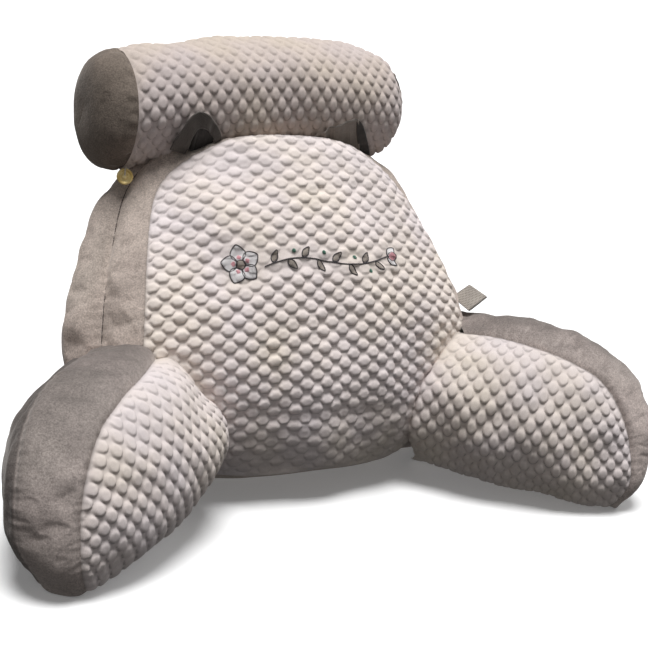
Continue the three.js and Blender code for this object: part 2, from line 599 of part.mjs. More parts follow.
// Round button with a raised rim and a small eye, hanging at the lower left
// seam of the roll.
function buttonSolid() {
  const w = BUTTON;
  const profile = [[0, 0], [w.radius - 0.8, 0], [w.radius, 0.9], [w.radius - 0.5, w.thick],
    [w.radius - 2.4, w.thick], [w.radius - 3.2, w.thick - 0.9], [2.6, w.thick - 0.9], [0, w.thick - 0.3]];
  const disc = new THREE.LatheGeometry(profile.map(([x, y]) => new THREE.Vector2(x, y)), 14);
  const eye = new THREE.TorusGeometry(w.eye, 0.8, 5, 10);
  eye.rotateX(Math.PI / 2);
  eye.translate(0, w.thick / 2, w.radius + w.eye - 0.6);
  const spin = new THREE.Quaternion().setFromUnitVectors(new THREE.Vector3(0, 1, 0), new THREE.Vector3(...w.facing).normalize());
  for (const g of [disc, eye]) {
    g.applyQuaternion(spin);
    g.translate(...w.at);
  }
  return toSolid(disc).add(toSolid(eye));
}

// Folded ribbon loop in the right side seam.
function tabSolid() {
  const [a, b, c, d] = TAB.corners.map((p) => new THREE.Vector3(...p));
  const rows = [0, 0.5, 1].map((w) => [0, 0.5, 1].map((t) => a.clone().lerp(b, t)
    .lerp(c.clone().lerp(d, t), w)));
  const n = outwardNormals(rows, new THREE.Vector3(-0.5, -0.5, 0.7));
  return layer(rows, n, TAB.thick / 2, TAB.thick / 2).subtract(backClear);
}

// ---------------------------------------------------------------- assembly
const COLORS = {
  quilt: { color: 0xd9d2ce, roughness: 0.9, metalness: 0 },
  velvet: { color: 0x8f8379, roughness: 0.95, metalness: 0 },
  ribbon: { color: 0x6c625b, roughness: 0.9, metalness: 0 },
  brass: { color: 0xc9a24a, roughness: 0.35, metalness: 0.9 },
};
const pillow = new THREE.Group();
function piece(name, solid, kind) {
  const geo = fromSolid(solid);
  geo.translate(0, -MIDDLE_Y, 0);
  const mesh = new THREE.Mesh(geo, new THREE.MeshStandardMaterial(COLORS[kind]));
  mesh.name = name;
  pillow.add(mesh);
}
piece('backrest_cushion', backBody, 'velvet');
piece('backrest_gusset', backGusset, 'velvet');
piece('backrest_front_panel', backPanel, 'quilt');
for (const [name, side] of [['right', 1], ['left', -1]]) {
  piece(`arm_${name}_cushion`, armPiece(armBodyRaw, side), 'velvet');
  piece(`arm_${name}_gusset`, armPiece(armGussetRaw, side), 'velvet');
  piece(`arm_${name}_inner_panel`, armPiece(innerPanelRaw, side), 'quilt');
}
piece('neck_roll', roll, 'quilt');
piece('neck_roll_end_left', domeSolid(-1, 0), 'velvet');
piece('neck_roll_end_right', domeSolid(1, 0), 'velvet');
for (const tie of TIES) piece(tie.name, tieSolid(tie.path), 'ribbon');
piece('roll_button', buttonSolid(), 'brass');
piece('side_loop', tabSolid(), 'ribbon');

export default pillow;
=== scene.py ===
# Triangle backrest pillow: bubble-quilted cloth, velvet sides, neck roll with
# ribbon ties. Shapes are worked out in millimetres about the front seam's
# reference line and are put into the row frame in metres by to_row().
import bpy, bmesh, json, math
import numpy as np
from mathutils import Matrix, Vector, kdtree

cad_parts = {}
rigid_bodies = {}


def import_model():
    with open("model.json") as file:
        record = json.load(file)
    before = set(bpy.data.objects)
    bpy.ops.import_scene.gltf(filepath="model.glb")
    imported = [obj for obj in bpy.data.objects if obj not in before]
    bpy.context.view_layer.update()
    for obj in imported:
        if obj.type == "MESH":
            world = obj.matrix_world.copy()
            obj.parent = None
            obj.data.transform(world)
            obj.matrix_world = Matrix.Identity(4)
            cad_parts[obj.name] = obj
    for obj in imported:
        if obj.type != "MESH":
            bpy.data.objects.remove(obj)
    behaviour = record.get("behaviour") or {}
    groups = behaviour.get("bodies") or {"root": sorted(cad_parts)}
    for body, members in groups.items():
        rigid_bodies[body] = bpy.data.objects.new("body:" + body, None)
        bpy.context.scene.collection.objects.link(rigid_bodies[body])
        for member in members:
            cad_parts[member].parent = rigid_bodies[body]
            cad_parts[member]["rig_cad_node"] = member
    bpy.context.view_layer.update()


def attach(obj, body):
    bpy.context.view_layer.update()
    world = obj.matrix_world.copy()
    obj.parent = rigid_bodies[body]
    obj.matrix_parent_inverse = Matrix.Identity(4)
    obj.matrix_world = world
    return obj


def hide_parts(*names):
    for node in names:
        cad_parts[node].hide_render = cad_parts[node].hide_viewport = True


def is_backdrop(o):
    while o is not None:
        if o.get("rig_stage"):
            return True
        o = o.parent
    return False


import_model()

MIDDLE_Y = 54.6

# ------------------------------------------------------------------ sizes
ORIGIN_Z, UNIT = 197.6, 104.0
LEAN = (0.371, 0.223, -0.11, 0.03)
CROWN = (0.174, 0.039, 0.078, 0.004)
BOTTOM_V, FOOT_DROP, CORNER_V, CORNER_U = -166.0, 17.0, 196.6, 122.6
SIDE = ([-166, -130, -74, -21, 34, 89, 142, 167, 182, 187, 196.6],
        [172, 190, 200, 202.5, 195.5, 186, 174, 163.8, 150.3, 142.4, 122.6])
PANEL = ([-166, -150, -129, -104, -83, -63, -44, -29, -21, 34, 89, 142, 167, 182, 187, 196.6],
         [142, 137, 134, 138, 147, 166, 185, 197, 202.5, 195.5, 186, 174, 163.8, 150.3, 142.4, 122.6])
TOP = ([0, 39.6, 79.1, 98.9, 122.6], [213.2, 212.2, 209, 203.8, 196.6])
GUSSET_SIDE = ([-166, -139, -74, -21, 34, 89, 142, 167, 182, 196.6],
               [192, 216, 225, 222, 214, 200, 186, 175, 162, 134],
               [92, 70, 71, 78, 96, 119, 140, 150, 156, 162],
               [0, 45, 108, 161, 207, 247, 285, 307, 324, 346])
GUSSET_TOP = ([0, 39.6, 79.1, 98.9, 122.6], [0, 44, 86, 108, 134], [150, 152, 156, 159, 162], [362, 361, 357, 353, 346])
FULL_SIDE = ([-166, -139, -74, -21, 34, 89, 142, 167, 182, 196.6],
             [212, 239, 249, 249, 241, 227, 209, 193, 175, 143],
             [140, 112, 108, 113, 126, 143, 160, 170, 176, 182],
             [0, 45, 104, 151, 196, 237, 275, 296, 312, 331])
FULL_TOP = ([0, 39.6, 79.1, 98.9, 122.6], [0, 46, 92, 116, 143], [190, 190, 188, 186, 182], [350, 348, 343, 338, 331])
BASE_FRONT, BASE_BACK = 100.0, 196.0
BACK = ([-166, -156, -139, -74, -21, 34, 89, 142, 167, 196.6, 213.2],
        [196, 214, 226, 230, 228, 224, 218, 211, 206, 199, 190])
ARM_TOP = [[188, 14, 170], [204, -13, 174], [220, -37, 174], [237, -57, 171],
           [255, -74, 166], [271, -90, 159], [288, -105, 149], [302, -119, 132]]
ARM_TIP = [[302, -119, 132], [312, -131, 108], [318, -140, 83], [320, -148, 56], [319, -150, 32], [309, -139, 4]]
ARM_BOTTOM = [[170, 50, 4], [207, 8, 4], [245, -54, 4], [281, -107, 4], [309, -139, 4]]
ARM_ROOT = [[170, 50, 4], [150, 12, 27], [134, 0, 47], [126, -6, 70], [125, -8, 94], [131, -8, 115],
            [145, -4, 135], [162, 3, 156], [176, 10, 166], [188, 14, 170]]
OUT_TOP = [[227, 94, 162], [243, 60, 171], [263, 24, 178], [285, -8, 179],
           [306, -32, 175], [325, -53, 168], [342, -73, 156], [355, -91, 139]]
OUT_TIP = [[355, -91, 139], [363, -105, 113], [367, -115, 88], [367, -120, 62], [361, -121, 37], [342, -110, 3]]
OUT_BOTTOM = [[228, 112, 3], [268, 56, 3], [312, -32, 3], [342, -110, 3]]
OUT_ROOT = [[228, 112, 3], [240, 116, 45], [248, 114, 92], [241, 106, 132], [227, 94, 162]]
ARM_CROWN_IN, ARM_CROWN_OUT, ARM_CROWN_GUSSET = 34.0, 27.0, 13.0
INWARD = np.array([-0.779, -0.627, 0.0])
OUTWARD = np.array([0.85, 0.35, 0.0]) / math.hypot(0.85, 0.35)
ROLL = dict(mid=-9.8, half=164.4, radius=66.4, y=185.9, z=403.4, arch=11.95, rise=6.25, bow=9.8, lead=3.8)
DOMED, DOME_POWER = {-1: 36.0, 1: 12.0}, {-1: 0.6, 1: 0.5}

HEX = 10.4                 # the backrest's quilting: size of a cell,
ACROSS = 0.7607            # and how far the rows are drawn in across it
RISE = 2.9                 # height of a bubble
SLANT, FLAT = 0.93, 0.66    # how much of its cell a bubble fills, on its slanted and its flat sides


# ------------------------------------------------------------------ helpers
def along(xs, ys, x):
    xs, ys, x = np.asarray(xs, float), np.asarray(ys, float), np.asarray(x, float)
    n = len(xs)
    m = np.empty(n)
    m[1:-1] = (ys[2:] - ys[:-2]) / (xs[2:] - xs[:-2])
    m[0] = (ys[1] - ys[0]) / (xs[1] - xs[0])
    m[-1] = (ys[-1] - ys[-2]) / (xs[-1] - xs[-2])
    i = np.searchsorted(xs[1:-1], x, side="left")
    h = xs[i + 1] - xs[i]
    s = (x - xs[i]) / h
    s2, s3 = s * s, s * s * s
    y = (2 * s3 - 3 * s2 + 1) * ys[i] + (s3 - 2 * s2 + s) * h * m[i] + (-2 * s3 + 3 * s2) * ys[i + 1] + (s3 - s2) * h * m[i + 1]
    y = np.where(x < xs[0], ys[0] + m[0] * (x - xs[0]), y)
    return np.where(x > xs[-1], ys[-1] + m[-1] * (x - xs[-1]), y)


def curve3(points):
    p = np.asarray(points, float)
    d = np.concatenate([[0], np.cumsum(np.linalg.norm(np.diff(p, axis=0), axis=1))])
    return lambda t: np.stack([along(d, p[:, k], np.asarray(t, float) * d[-1]) for k in range(3)], -1)


def unit(v):
    return v / np.maximum(np.linalg.norm(v, axis=-1, keepdims=True), 1e-9)


def smooth(e0, e1, x):
    t = np.clip((x - e0) / (e1 - e0), 0, 1)
    return t * t * (3 - 2 * t)


def grid_normals(p, hint, wrap_i=False):
    """Unit normals of a grid of points, turned towards hint."""
    a = (np.roll(p, -1, 0) - np.roll(p, 1, 0)) if wrap_i else np.gradient(p, axis=0)
    b = np.gradient(p, axis=1)
    n = unit(np.cross(a, b))
    if callable(hint):
        s = np.sign((n * hint(p)).sum(-1).mean())
    else:
        s = np.sign((n @ np.asarray(hint, float)).mean())
    return n * (s if s else 1)


def waves(p, scale, seed, count=18):
    """Soft random relief of about unit height, from a sum of waves."""
    rng = np.random.RandomState(seed)
    q = np.asarray(p, float)
    out = np.zeros(q.shape[:-1])
    for _ in range(count):
        d = rng.normal(size=q.shape[-1])
        d *= (2 * math.pi / scale) * (0.6 + 0.8 * rng.rand()) / np.linalg.norm(d)
        out += np.cos(q @ d + rng.rand() * 2 * math.pi)
    return out * math.sqrt(2.0 / count)


def chain(points, spacing):
    """A polyline resampled at an even spacing."""
    p = np.asarray(points, float)
    d = np.concatenate([[0], np.cumsum(np.linalg.norm(np.diff(p, axis=0), axis=1))])
    n = max(2, int(round(d[-1] / spacing)) + 1)
    t = np.linspace(0, d[-1], n)
    return np.stack([np.interp(t, d, p[:, k]) for k in range(3)], -1)


def smooth_curve(p, sigma):
    """A polyline of even spacing 1, smoothed but with its ends kept."""
    r = int(3 * sigma) + 1
    k = np.exp(-0.5 * (np.arange(-r, r + 1) / sigma) ** 2)
    k /= k.sum()
    a = 2 * p[0] - p[1:r + 1][::-1]
    b = 2 * p[-1] - p[-r - 1:-1][::-1]
    q = np.concatenate([a, p, b])
    return np.stack([np.convolve(q[:, c], k, mode="valid") for c in range(p.shape[1])], -1)


class Seam:
    """A sewn line: its points, and how far and which way it pulls the cloth."""

    def __init__(self, points, pull):
        self.points, self.pull = np.asarray(points, float), np.asarray(pull, float)
        self.tree = kdtree.KDTree(len(self.points))
        for k, q in enumerate(self.points):
            self.tree.insert(q, k)
        self.tree.balance()
        self.run = np.concatenate([[0], np.cumsum(np.linalg.norm(np.diff(self.points, axis=0), axis=1))])

    def near(self, p, reach=60.0):
        """Distance to the line and the index of the nearest of its points."""
        flat = p.reshape(-1, 3)
        lo, hi = self.points.min(0) - reach, self.points.max(0) + reach
        dist, idx = np.full(len(flat), 1e3), np.zeros(len(flat), int)
        find = self.tree.find
        for k in np.nonzero(((flat > lo) & (flat < hi)).all(1))[0]:
            _, i, d = find(flat[k])
            dist[k], idx[k] = d, i
        return dist.reshape(p.shape[:-1]), idx.reshape(p.shape[:-1])


def pulled(p, seam, width, depth=1.0, pucker=0.0, seed=1):
    dist, idx = seam.near(p)
    w = np.exp(-(dist / width) ** 2)
    out = p + seam.pull[idx] * (w * depth)[..., None]
    if pucker:
        s = seam.run[idx]
        rel = waves(s[..., None], 15.0, seed, 10) + 0.6 * waves(s[..., None], 7.0, seed + 50, 8)
        out = out + seam.pull[idx] * (pucker * rel * np.exp(-(dist / (width * 1.9)) ** 2))[..., None]
    return out, dist


# ------------------------------------------------------------------ quilting
def bubble(k, m, su, sv, down=(0.0, -1.0), round_=0.20):
    """Long six-sided bubbles on the lattice of the points (1.5 k, 0.866 m) with k + m even. su and sv are a lattice
    unit's millimetres each way, down is which way the cloth hangs. Gives the height 0..1, the place in the bubble (0 in
    its middle, 1 at its edge) and how much of a place is the steep fold at a bubble's lower edge, which is darkened
    with painted shade."""
    a, b = k / 1.5, m / (math.sqrt(3) / 2)
    step = np.array([1.5 * su, math.sqrt(3) / 2 * sv])
    gap = np.hypot(*step)
    nx, ny = step / gap
    slant, half = SLANT * gap / 2, FLAT * step[1]
    best = None
    ka, mb = np.floor(a), np.floor(b)
    for di in (-1, 0, 1, 2):
        for dj in (-1, 0, 1, 2):
            i, j = ka + di, mb + dj
            du, dv = (a - i) * step[0], (b - j) * step[1]
            x, y = np.abs(du), np.abs(dv)
            flat = np.maximum(y / half, (nx * x + ny * y) / slant)
            d = np.where(np.mod(i + j, 2) == 0, (1 - round_) * flat + round_ * np.hypot(x * nx / slant, y / half), 99.0)
            if best is None:
                best = [d, du, dv, i, j]
            else:
                t = d < best[0]
                best = [np.where(t, p, q) for p, q in zip((d, du, dv, i, j), best)]
    rho, du, dv, i, j = best
    low = du * nx / slant * down[0] + dv / half * down[1]
    rng = np.sin(i * 12.9898 + j * 78.233) * 43758.5453
    vary = rng - np.floor(rng)
    steep = smooth(-0.8, 0.6, low)
    e0, e1 = 0.40 + 0.35 * steep, 1.16 - 0.11 * steep
    t = np.clip((rho - e0) / (e1 - e0), 0, 1)
    dome = 0.24 * np.maximum(1 - rho ** 2, 0) + 0.76 * (1 - t * t * (3 - 2 * t))
    # fold marks the lower edge of a bubble, where the cloth is darkened with painted shade
    fold = smooth(0.80, 0.95, rho) * (1 - smooth(1.0, 1.16, rho)) * smooth(-0.05, 0.5, low)
    return dome * (0.92 + 0.16 * vary) * (1 + 0.14 * low), rho, fold


def panel_lattice(u, v):
    """Front panel: cloth millimetres to lattice units."""
    a, b = u / (ACROSS * HEX), v / HEX
    c, s = math.cos(0.0162), math.sin(0.0162)
    return c * a + s * b + 8.4577, -s * a + c * b


# ------------------------------------------------------------------ meshes
def to_row(p):
    q = np.asarray(p, float).reshape(-1, 3) * 0.001
    q[:, 1] -= MIDDLE_Y * 0.001
    return q


def quads(ni, nj, base=0, wrap_i=False, flip=False):
    i = np.arange(ni if wrap_i else ni - 1)
    j = np.arange(nj - 1)
    I, J = np.meshgrid(i, j, indexing="ij")
    I2 = (I + 1) % ni
    f = np.stack([I * nj + J, I2 * nj + J, I2 * nj + J + 1, I * nj + J + 1], -1).reshape(-1, 4) + base
    return f[:, ::-1] if flip else f


def make(name, points, faces, body="root"):
    """A mesh object from points in millimetres and an array of quads."""
    me = bpy.data.meshes.new(name)
    co = to_row(points)
    f = np.asarray(faces, dtype=np.int32)
    me.vertices.add(len(co))
    me.vertices.foreach_set("co", co.ravel())
    me.loops.add(f.size)
    me.loops.foreach_set("vertex_index", f.ravel())
    me.polygons.add(len(f))
    me.polygons.foreach_set("loop_start", np.arange(0, f.size, f.shape[1], dtype=np.int32))
    me.polygons.foreach_set("use_smooth", np.ones(len(f), dtype=bool))
    me.update(calc_edges=True)
    me.validate()
    ob = bpy.data.objects.new(name, me)
    bpy.context.scene.collection.objects.link(ob)
    return ob


def note(ob, name, values, vector=False):
    a = ob.data.attributes.new(name, "FLOAT_VECTOR" if vector else "FLOAT", "POINT")
    a.data.foreach_set("vector" if vector else "value", np.asarray(values, np.float32).ravel())


def sheet_mesh(name, p, hint, wrap_i=False):
    n = grid_normals(p, hint, wrap_i)
    a = (np.roll(p, -1, 0) - p)[:-1, :-1]
    b = (p[:, 1:] - p[:, :-1])[:-1]
    flip = (np.cross(a, b) * n[:-1, :-1]).sum() < 0
    return make(name, p, quads(p.shape[0], p.shape[1], 0, wrap_i, flip))


def joined(name, patches):
    """One mesh of several grids (points, outward hint), merged where they meet."""
    pts, faces, base = [], [], 0
    for p, hint, wrap in patches:
        n = grid_normals(p, hint, wrap)
        a = (np.roll(p, -1, 0) - p)[:-1, :-1]
        b = (p[:, 1:] - p[:, :-1])[:-1]
        flip = (np.cross(a, b) * n[:-1, :-1]).sum() < 0
        faces.append(quads(p.shape[0], p.shape[1], base, wrap, flip))
        pts.append(p.reshape(-1, 3))
        base += p.shape[0] * p.shape[1]
    ob = make(name, np.concatenate(pts), np.concatenate(faces))
    bm = bmesh.new()
    bm.from_mesh(ob.data)
    bmesh.ops.remove_doubles(bm, verts=bm.verts, dist=0.00012)
    bm.to_mesh(ob.data)
    bm.free()
    return ob


# ------------------------------------------------------------------ front face
def front_point(u, v):
    u, v = np.broadcast_arrays(np.asarray(u, float), np.asarray(v, float))
    steps = 24
    k = CROWN[0] + CROWN[1] * v / UNIT + CROWN[2] * (v / UNIT) ** 2
    lean = lambda q: LEAN[0] + LEAN[1] * q / UNIT + LEAN[2] * (q / UNIT) ** 2 + LEAN[3] * (q / UNIT) ** 3
    x = np.zeros(u.shape); w = x.copy(); y = x.copy(); z = x.copy()
    for s in range(steps):
        t = (s + 0.5) / steps
        bend = k * t * u / UNIT + CROWN[3] * (t * u / UNIT) ** 3
        x += np.cos(bend) * u / steps
        w += np.sin(bend) * u / steps
        y += np.sin(lean(t * v)) * v / steps
        z += np.cos(lean(t * v)) * v / steps
    a = lean(v)
    return np.stack([x, y + w * np.cos(a), ORIGIN_Z + z - w * np.sin(a)], -1)


def row_v(t):
    return BOTTOM_V + (CORNER_V - BOTTOM_V) * t


def face_uv(i, j, table, extra=0.0):
    v = row_v(j)
    u = (2 * i - 1) * (along(*table, v) + extra)
    top = along(*TOP, np.abs(2 * i - 1) * CORNER_U) - CORNER_V
    return u, v + top * j * j - FOOT_DROP * np.abs(u / 120) ** 1.5 * (1 - j) ** 4


def ring_point(i, j, side, top, mid):
    q = 2 * np.asarray(i, float) - 1
    j = np.broadcast_to(np.asarray(j, float), q.shape)
    sgn = np.where(q < 0, -1.0, 1.0)
    u = np.abs(q) * CORNER_U
    v = row_v(j)
    a = np.stack([sgn * along(top[0], top[1], u), along(top[0], top[2], u), along(top[0], top[3], u)], -1)
    b = np.stack([sgn * along(side[0], side[1], v), along(side[0], side[2], v), along(side[0], side[3], v)], -1)
    c = np.stack([side[1][0] * q, mid + (side[2][0] - mid) * np.abs(q) ** 2.5, np.zeros(q.shape)], -1)
    return np.where((j >= 1)[..., None], a, np.where((j <= 0)[..., None], c, b))


# ------------------------------------------------------------------ backrest
# The seam loop: up the left side, over the top and down the right side.
NL, NT = 150, 110
run_i = np.concatenate([np.zeros(NL), np.linspace(0, 1, NT), np.ones(NL)])
run_j = np.concatenate([np.linspace(0.0, 0.999, NL), np.ones(NT), np.linspace(0.999, 0.0, NL)])


def seam_curve(points):
    p = chain(points, 3.0)
    return smooth_curve(p, 4.0)


front_seam = seam_curve(front_point(*face_uv(run_i, run_j, SIDE)))
gusset_seam = seam_curve(ring_point(run_i, run_j, GUSSET_SIDE, GUSSET_TOP, BASE_FRONT))
full_line = seam_curve(ring_point(run_i, run_j, FULL_SIDE, FULL_TOP, BASE_BACK))


def at_run(curve, t):
    s = t * (len(curve) - 1)
    k = np.clip(s.astype(int), 0, len(curve) - 2)
    f = (s - k)[..., None]
    return curve[k] * (1 - f) + curve[k + 1] * f


def run_key(i, j, curve):
    """Gives back a place of the face grid, i and j, as it is."""
    return i, j


R = np.linspace(0, 1, 420)
# The loops are matched by the same heights and widths, not by length.
raw_runs = [front_point(*face_uv(run_i, run_j, SIDE)), ring_point(run_i, run_j, GUSSET_SIDE, GUSSET_TOP, BASE_FRONT),
            ring_point(run_i, run_j, FULL_SIDE, FULL_TOP, BASE_BACK)]
# the right shoulder is a little slacker behind the front seam than the left
slack = np.where(run_j >= 1, smooth(0.45, 1.0, run_i), np.where(run_i > 0.5, smooth(0.35, 0.75, run_j), 0))[:, None]
raw_runs[1] = raw_runs[1] + slack * np.array([-4.0, 0, -2.0])
raw_runs[2] = raw_runs[2] + slack * np.array([-12.0, 0, -7.0])
mean_len = np.zeros(len(run_i))
for q in raw_runs:
    d = np.concatenate([[0], np.cumsum(np.linalg.norm(np.diff(q, axis=0), axis=1))])
    mean_len += d / d[-1] / 3
loops = []
for q in raw_runs:
    p = np.stack([np.interp(R, mean_len, q[:, k]) for k in range(3)], -1)
    loops.append(smooth_curve(p, 3.0))
A, B, C = loops
run_of = lambda i, j: np.interp(
    np.where(j >= 1, 1 + i, np.where(i < 0.5, j, 3 - j)),
    np.concatenate([run_j[:NL], 1 + run_i[NL:NL + NT], 3 - run_j[NL + NT:]]), mean_len)


def strip(a, b, n, puff, late=1.0):
    """A band between two loops that swells out by puff about its middle."""
    t = np.linspace(0, 1, n)
    p = a[:, None] * (1 - t)[None, :, None] + b[:, None] * t[None, :, None]
    nrm = grid_normals(p, lambda q: q - np.array([0, 120.0, 150.0]))
    ease = smooth(0, 0.05, R) * smooth(0, 0.05, 1 - R)
    return p + nrm * (puff * np.sin(math.pi * t ** late)[None, :] * ease[:, None])[..., None], nrm


band, band_n = strip(A, B, 30, 3.4, 1.5)
full, full_n = strip(B, C, 18, 4.0)


def back_face(ni, nj):
    i, j = np.meshgrid(np.linspace(0, 1, ni), np.linspace(0, 1, nj), indexing="ij")
    q = 2 * i - 1
    v = row_v(j)
    ex, ey, ez = (along(FULL_SIDE[0], FULL_SIDE[k], v) for k in (1, 2, 3))
    top = along(FULL_TOP[0], FULL_TOP[3], np.abs(q) * CORNER_U) - FULL_TOP[3][-1]
    deep = along(*BACK, v + (213.2 - CORNER_V) * j * j)
    lobe = (1 - np.abs(q) ** 2.6) ** 0.62
    p = np.stack([ex * q, ey + (deep - ey) * lobe, ez + top * j * j], -1)
    # the edge is moved onto the smoothed loop
    left = at_run(C, run_of(np.zeros(nj), np.linspace(0, 0.999999, nj))) - p[0]
    right = at_run(C, run_of(np.ones(nj), np.linspace(0, 0.999999, nj))) - p[-1]
    wl, wr = (1 - i) ** 12, i ** 12
    p = p + left[None] * wl[..., None] + right[None] * wr[..., None]
    over = at_run(C, run_of(np.linspace(0, 1, ni), np.ones(ni))) - p[:, -1]
    return p + over[:, None] * (j ** 12)[..., None]


back = back_face(150, 120)
ni = 150
iu = np.linspace(0, 1, ni)
foot = front_point(*face_uv(iu, np.zeros(ni), SIDE))
ring0 = ring_point(iu, np.zeros(ni), GUSSET_SIDE, GUSSET_TOP, BASE_FRONT)
tt = np.linspace(0, 1, 26)
under = foot[:, None] * (1 - tt)[None, :, None] + ring0[:, None] * tt[None, :, None]
under[..., 2] = foot[:, None, 2] * ((1 - tt) * (1 - 0.35 * tt))[None]
t2 = np.linspace(0, 1, 14)
base = ring0[:, None] * (1 - t2)[None, :, None] + back[:, 0][:, None] * t2[None, :, None]

# ------------------------------------------------------------------ arms
in_top, in_tip, in_bottom, in_root = curve3(ARM_TOP), curve3(ARM_TIP), curve3(ARM_BOTTOM), curve3(ARM_ROOT)
out_top, out_tip, out_bottom, out_root = curve3(OUT_TOP), curve3(OUT_TIP), curve3(OUT_BOTTOM), curve3(OUT_ROOT)
hump = lambda t: np.maximum(4 * t * (1 - t), 0) ** 0.7


def coons(i, j, top, tip, bottom, root):
    I, J = i[..., None], j[..., None]
    p00, p01, p10, p11 = root(0.0), root(1.0), tip(1.0), tip(0.0)
    return (root(j) * (1 - I) + tip(1 - j) * I + bottom(i) * (1 - J) + top(i) * J
            - p00 * (1 - I) * (1 - J) - p01 * (1 - I) * J - p10 * I * (1 - J) - p11 * I * J)


def arm_inner(i, j):
    p = coons(i, j, in_top, in_tip, in_bottom, in_root)
    return p + INWARD * (ARM_CROWN_IN * hump(0.04 + 0.96 * i) * hump(j ** 0.6))[..., None]


def arm_outer(i, j):
    p = coons(i, j, out_top, out_tip, out_bottom, out_root)
    return p + OUTWARD * (ARM_CROWN_OUT * hump(0.3 + 0.7 * i) * hump(0.24 + 0.76 * j))[..., None]


# Inner and outer seams of the arm, from the backrest over the tip to the floor.
NA = 230
share = np.linspace(0, 1, NA)
top_share = 0.58


def arm_seam(top, tip):
    p = np.where((share < top_share)[:, None], top(np.clip(share / top_share, 0, 1)),
                 tip(np.clip((share - top_share) / (1 - top_share), 0, 1)))
    return smooth_curve(p, 3.5)


arm_in, arm_out = arm_seam(in_top, in_tip), arm_seam(out_top, out_tip)
tb = np.linspace(0, 1, 34)
arm_band = arm_in[:, None] * (1 - tb)[None, :, None] + arm_out[:, None] * tb[None, :, None]
ahead = unit(smooth_curve(np.gradient(arm_band.mean(1), axis=0), 6.0))
aside = unit(arm_out - arm_in)
lift_dir = unit(np.cross(ahead, aside))
if lift_dir[40, 2] < 0:
    lift_dir = -lift_dir
low = 1 - 0.5 * smooth(0.72, 1.0, share)
arm_band = arm_band + lift_dir[:, None] * (ARM_CROWN_GUSSET * hump(tb)[None, :] * low[:, None])[..., None]

# ------------------------------------------------------------------ roll
def roll_share(x):
    return np.clip((np.asarray(x, float) - ROLL["mid"]) / ROLL["half"], -1, 1)


def roll_axis(x):
    x = np.asarray(x, float)
    q = roll_share(x)
    return np.stack([x, ROLL["y"] + ROLL["bow"] * q * q + ROLL["lead"] * q,
                     ROLL["z"] - ROLL["arch"] * q * q + ROLL["rise"] * q], -1)


def roll_point(x, a, r):
    """A point by its place along the roll, its angle (0 towards the back, 180 towards the sitter) and its radius."""
    x, a, r = np.broadcast_arrays(np.asarray(x, float), np.asarray(a, float), np.asarray(r, float))
    return roll_axis(x) + np.stack([np.zeros(x.shape), r * np.cos(a), r * np.sin(a)], -1)


def roll_radius(x):
    q = roll_share(x)
    return ROLL["radius"] - np.where(q < 0, 3 * q * q, 5 * np.abs(q) ** 5 + 6 * np.abs(q) ** 14)


# ------------------------------------------------------------------ seams
def face_normal_at(points):
    """Outward normal of the front face near its edge."""
    n = np.zeros_like(points) + np.array([0, -0.93, 0.36])
    return n


FINE = 1.0
num = lambda n: max(8, int(n * FINE))

side_n = smooth_curve(band_n[:, 2], 4.0)
pi_, pj_ = np.meshgrid(np.linspace(0, 1, 60), np.linspace(0, 1, 60), indexing="ij")
coarse_face = front_point(*face_uv(pi_, pj_, SIDE))
coarse_n = grid_normals(coarse_face, (0, -1, 0.3))
face_tree = kdtree.KDTree(3600)
for k, q in enumerate(coarse_face.reshape(-1, 3)):
    face_tree.insert(q, k)
face_tree.balance()
edge_n = np.array([coarse_n.reshape(-1, 3)[face_tree.find(q)[1]] for q in A])
front_seam_line = Seam(A, -unit(unit(side_n) + edge_n) * 1.5)
back_seam_line = Seam(B, -unit(side_n + full_n[:, 8]) * 1.1)
arm_in_n = unit(lift_dir + INWARD)
arm_seam_in = Seam(arm_in, -arm_in_n * 2.2)
arm_seam_out = Seam(arm_out, -unit(lift_dir + OUTWARD) * 1.2)
root_line = chain(in_root(np.linspace(0, 1, 120)), 3.0)
root_seam_r = Seam(root_line, np.zeros_like(root_line) + np.array([-0.15, 1.0, -0.1]) * 5.0)
flipx = np.array([-1.0, 1, 1])
root_seam_l = Seam(root_line * flipx, root_seam_r.pull * flipx)

# ------------------------------------------------------------------ front panel
NU, NV = num(328), num(300)
i, j = np.meshgrid(np.linspace(0, 1, NU), np.linspace(0, 1, NV), indexing="ij")
tuck = 9.0 * (1 - smooth(0.36, 0.44, j))
u, v = face_uv(i, j, PANEL, tuck)
P = front_point(u, v)
# the cloth's edge is sewn onto the seam loop, above where it passes behind the arms
free = smooth(0.37, 0.43, j)
at_left = at_run(A, run_of(np.zeros(NV), np.linspace(0, 0.999999, NV))) - P[0]
at_right = at_run(A, run_of(np.ones(NV), np.linspace(0, 0.999999, NV))) - P[-1]
P = P + (at_left[None] * ((1 - i) ** 14 * free)[..., None] + at_right[None] * (i ** 14 * free)[..., None])
at_top = at_run(A, run_of(np.linspace(0, 1, NU), np.ones(NU))) - P[:, -1]
P = P + at_top[:, None] * (j ** 14)[..., None]
Nn = grid_normals(P, (0, -1, 0.3))
dist, _ = front_seam_line.near(P, 40)
droot = np.minimum(root_seam_r.near(P, 40)[0], root_seam_l.near(P, 40)[0])
dedge = np.minimum(dist, np.linalg.norm(P - foot[np.clip((i * (len(foot) - 1)).astype(int), 0, len(foot) - 1)], axis=-1))


def calm(u, v):
    """How far the cloth is pressed flat by the embroidery."""
    bloom = np.exp(-(np.hypot(u - BLOOM[0], v - BLOOM[1]) / 30.0) ** 6)
    vine = np.exp(-(np.abs(v - vine_v(u)) / 15.0) ** 4) * smooth(-80, -66, u) * (1 - smooth(102, 116, u))
    return np.maximum(bloom, vine)


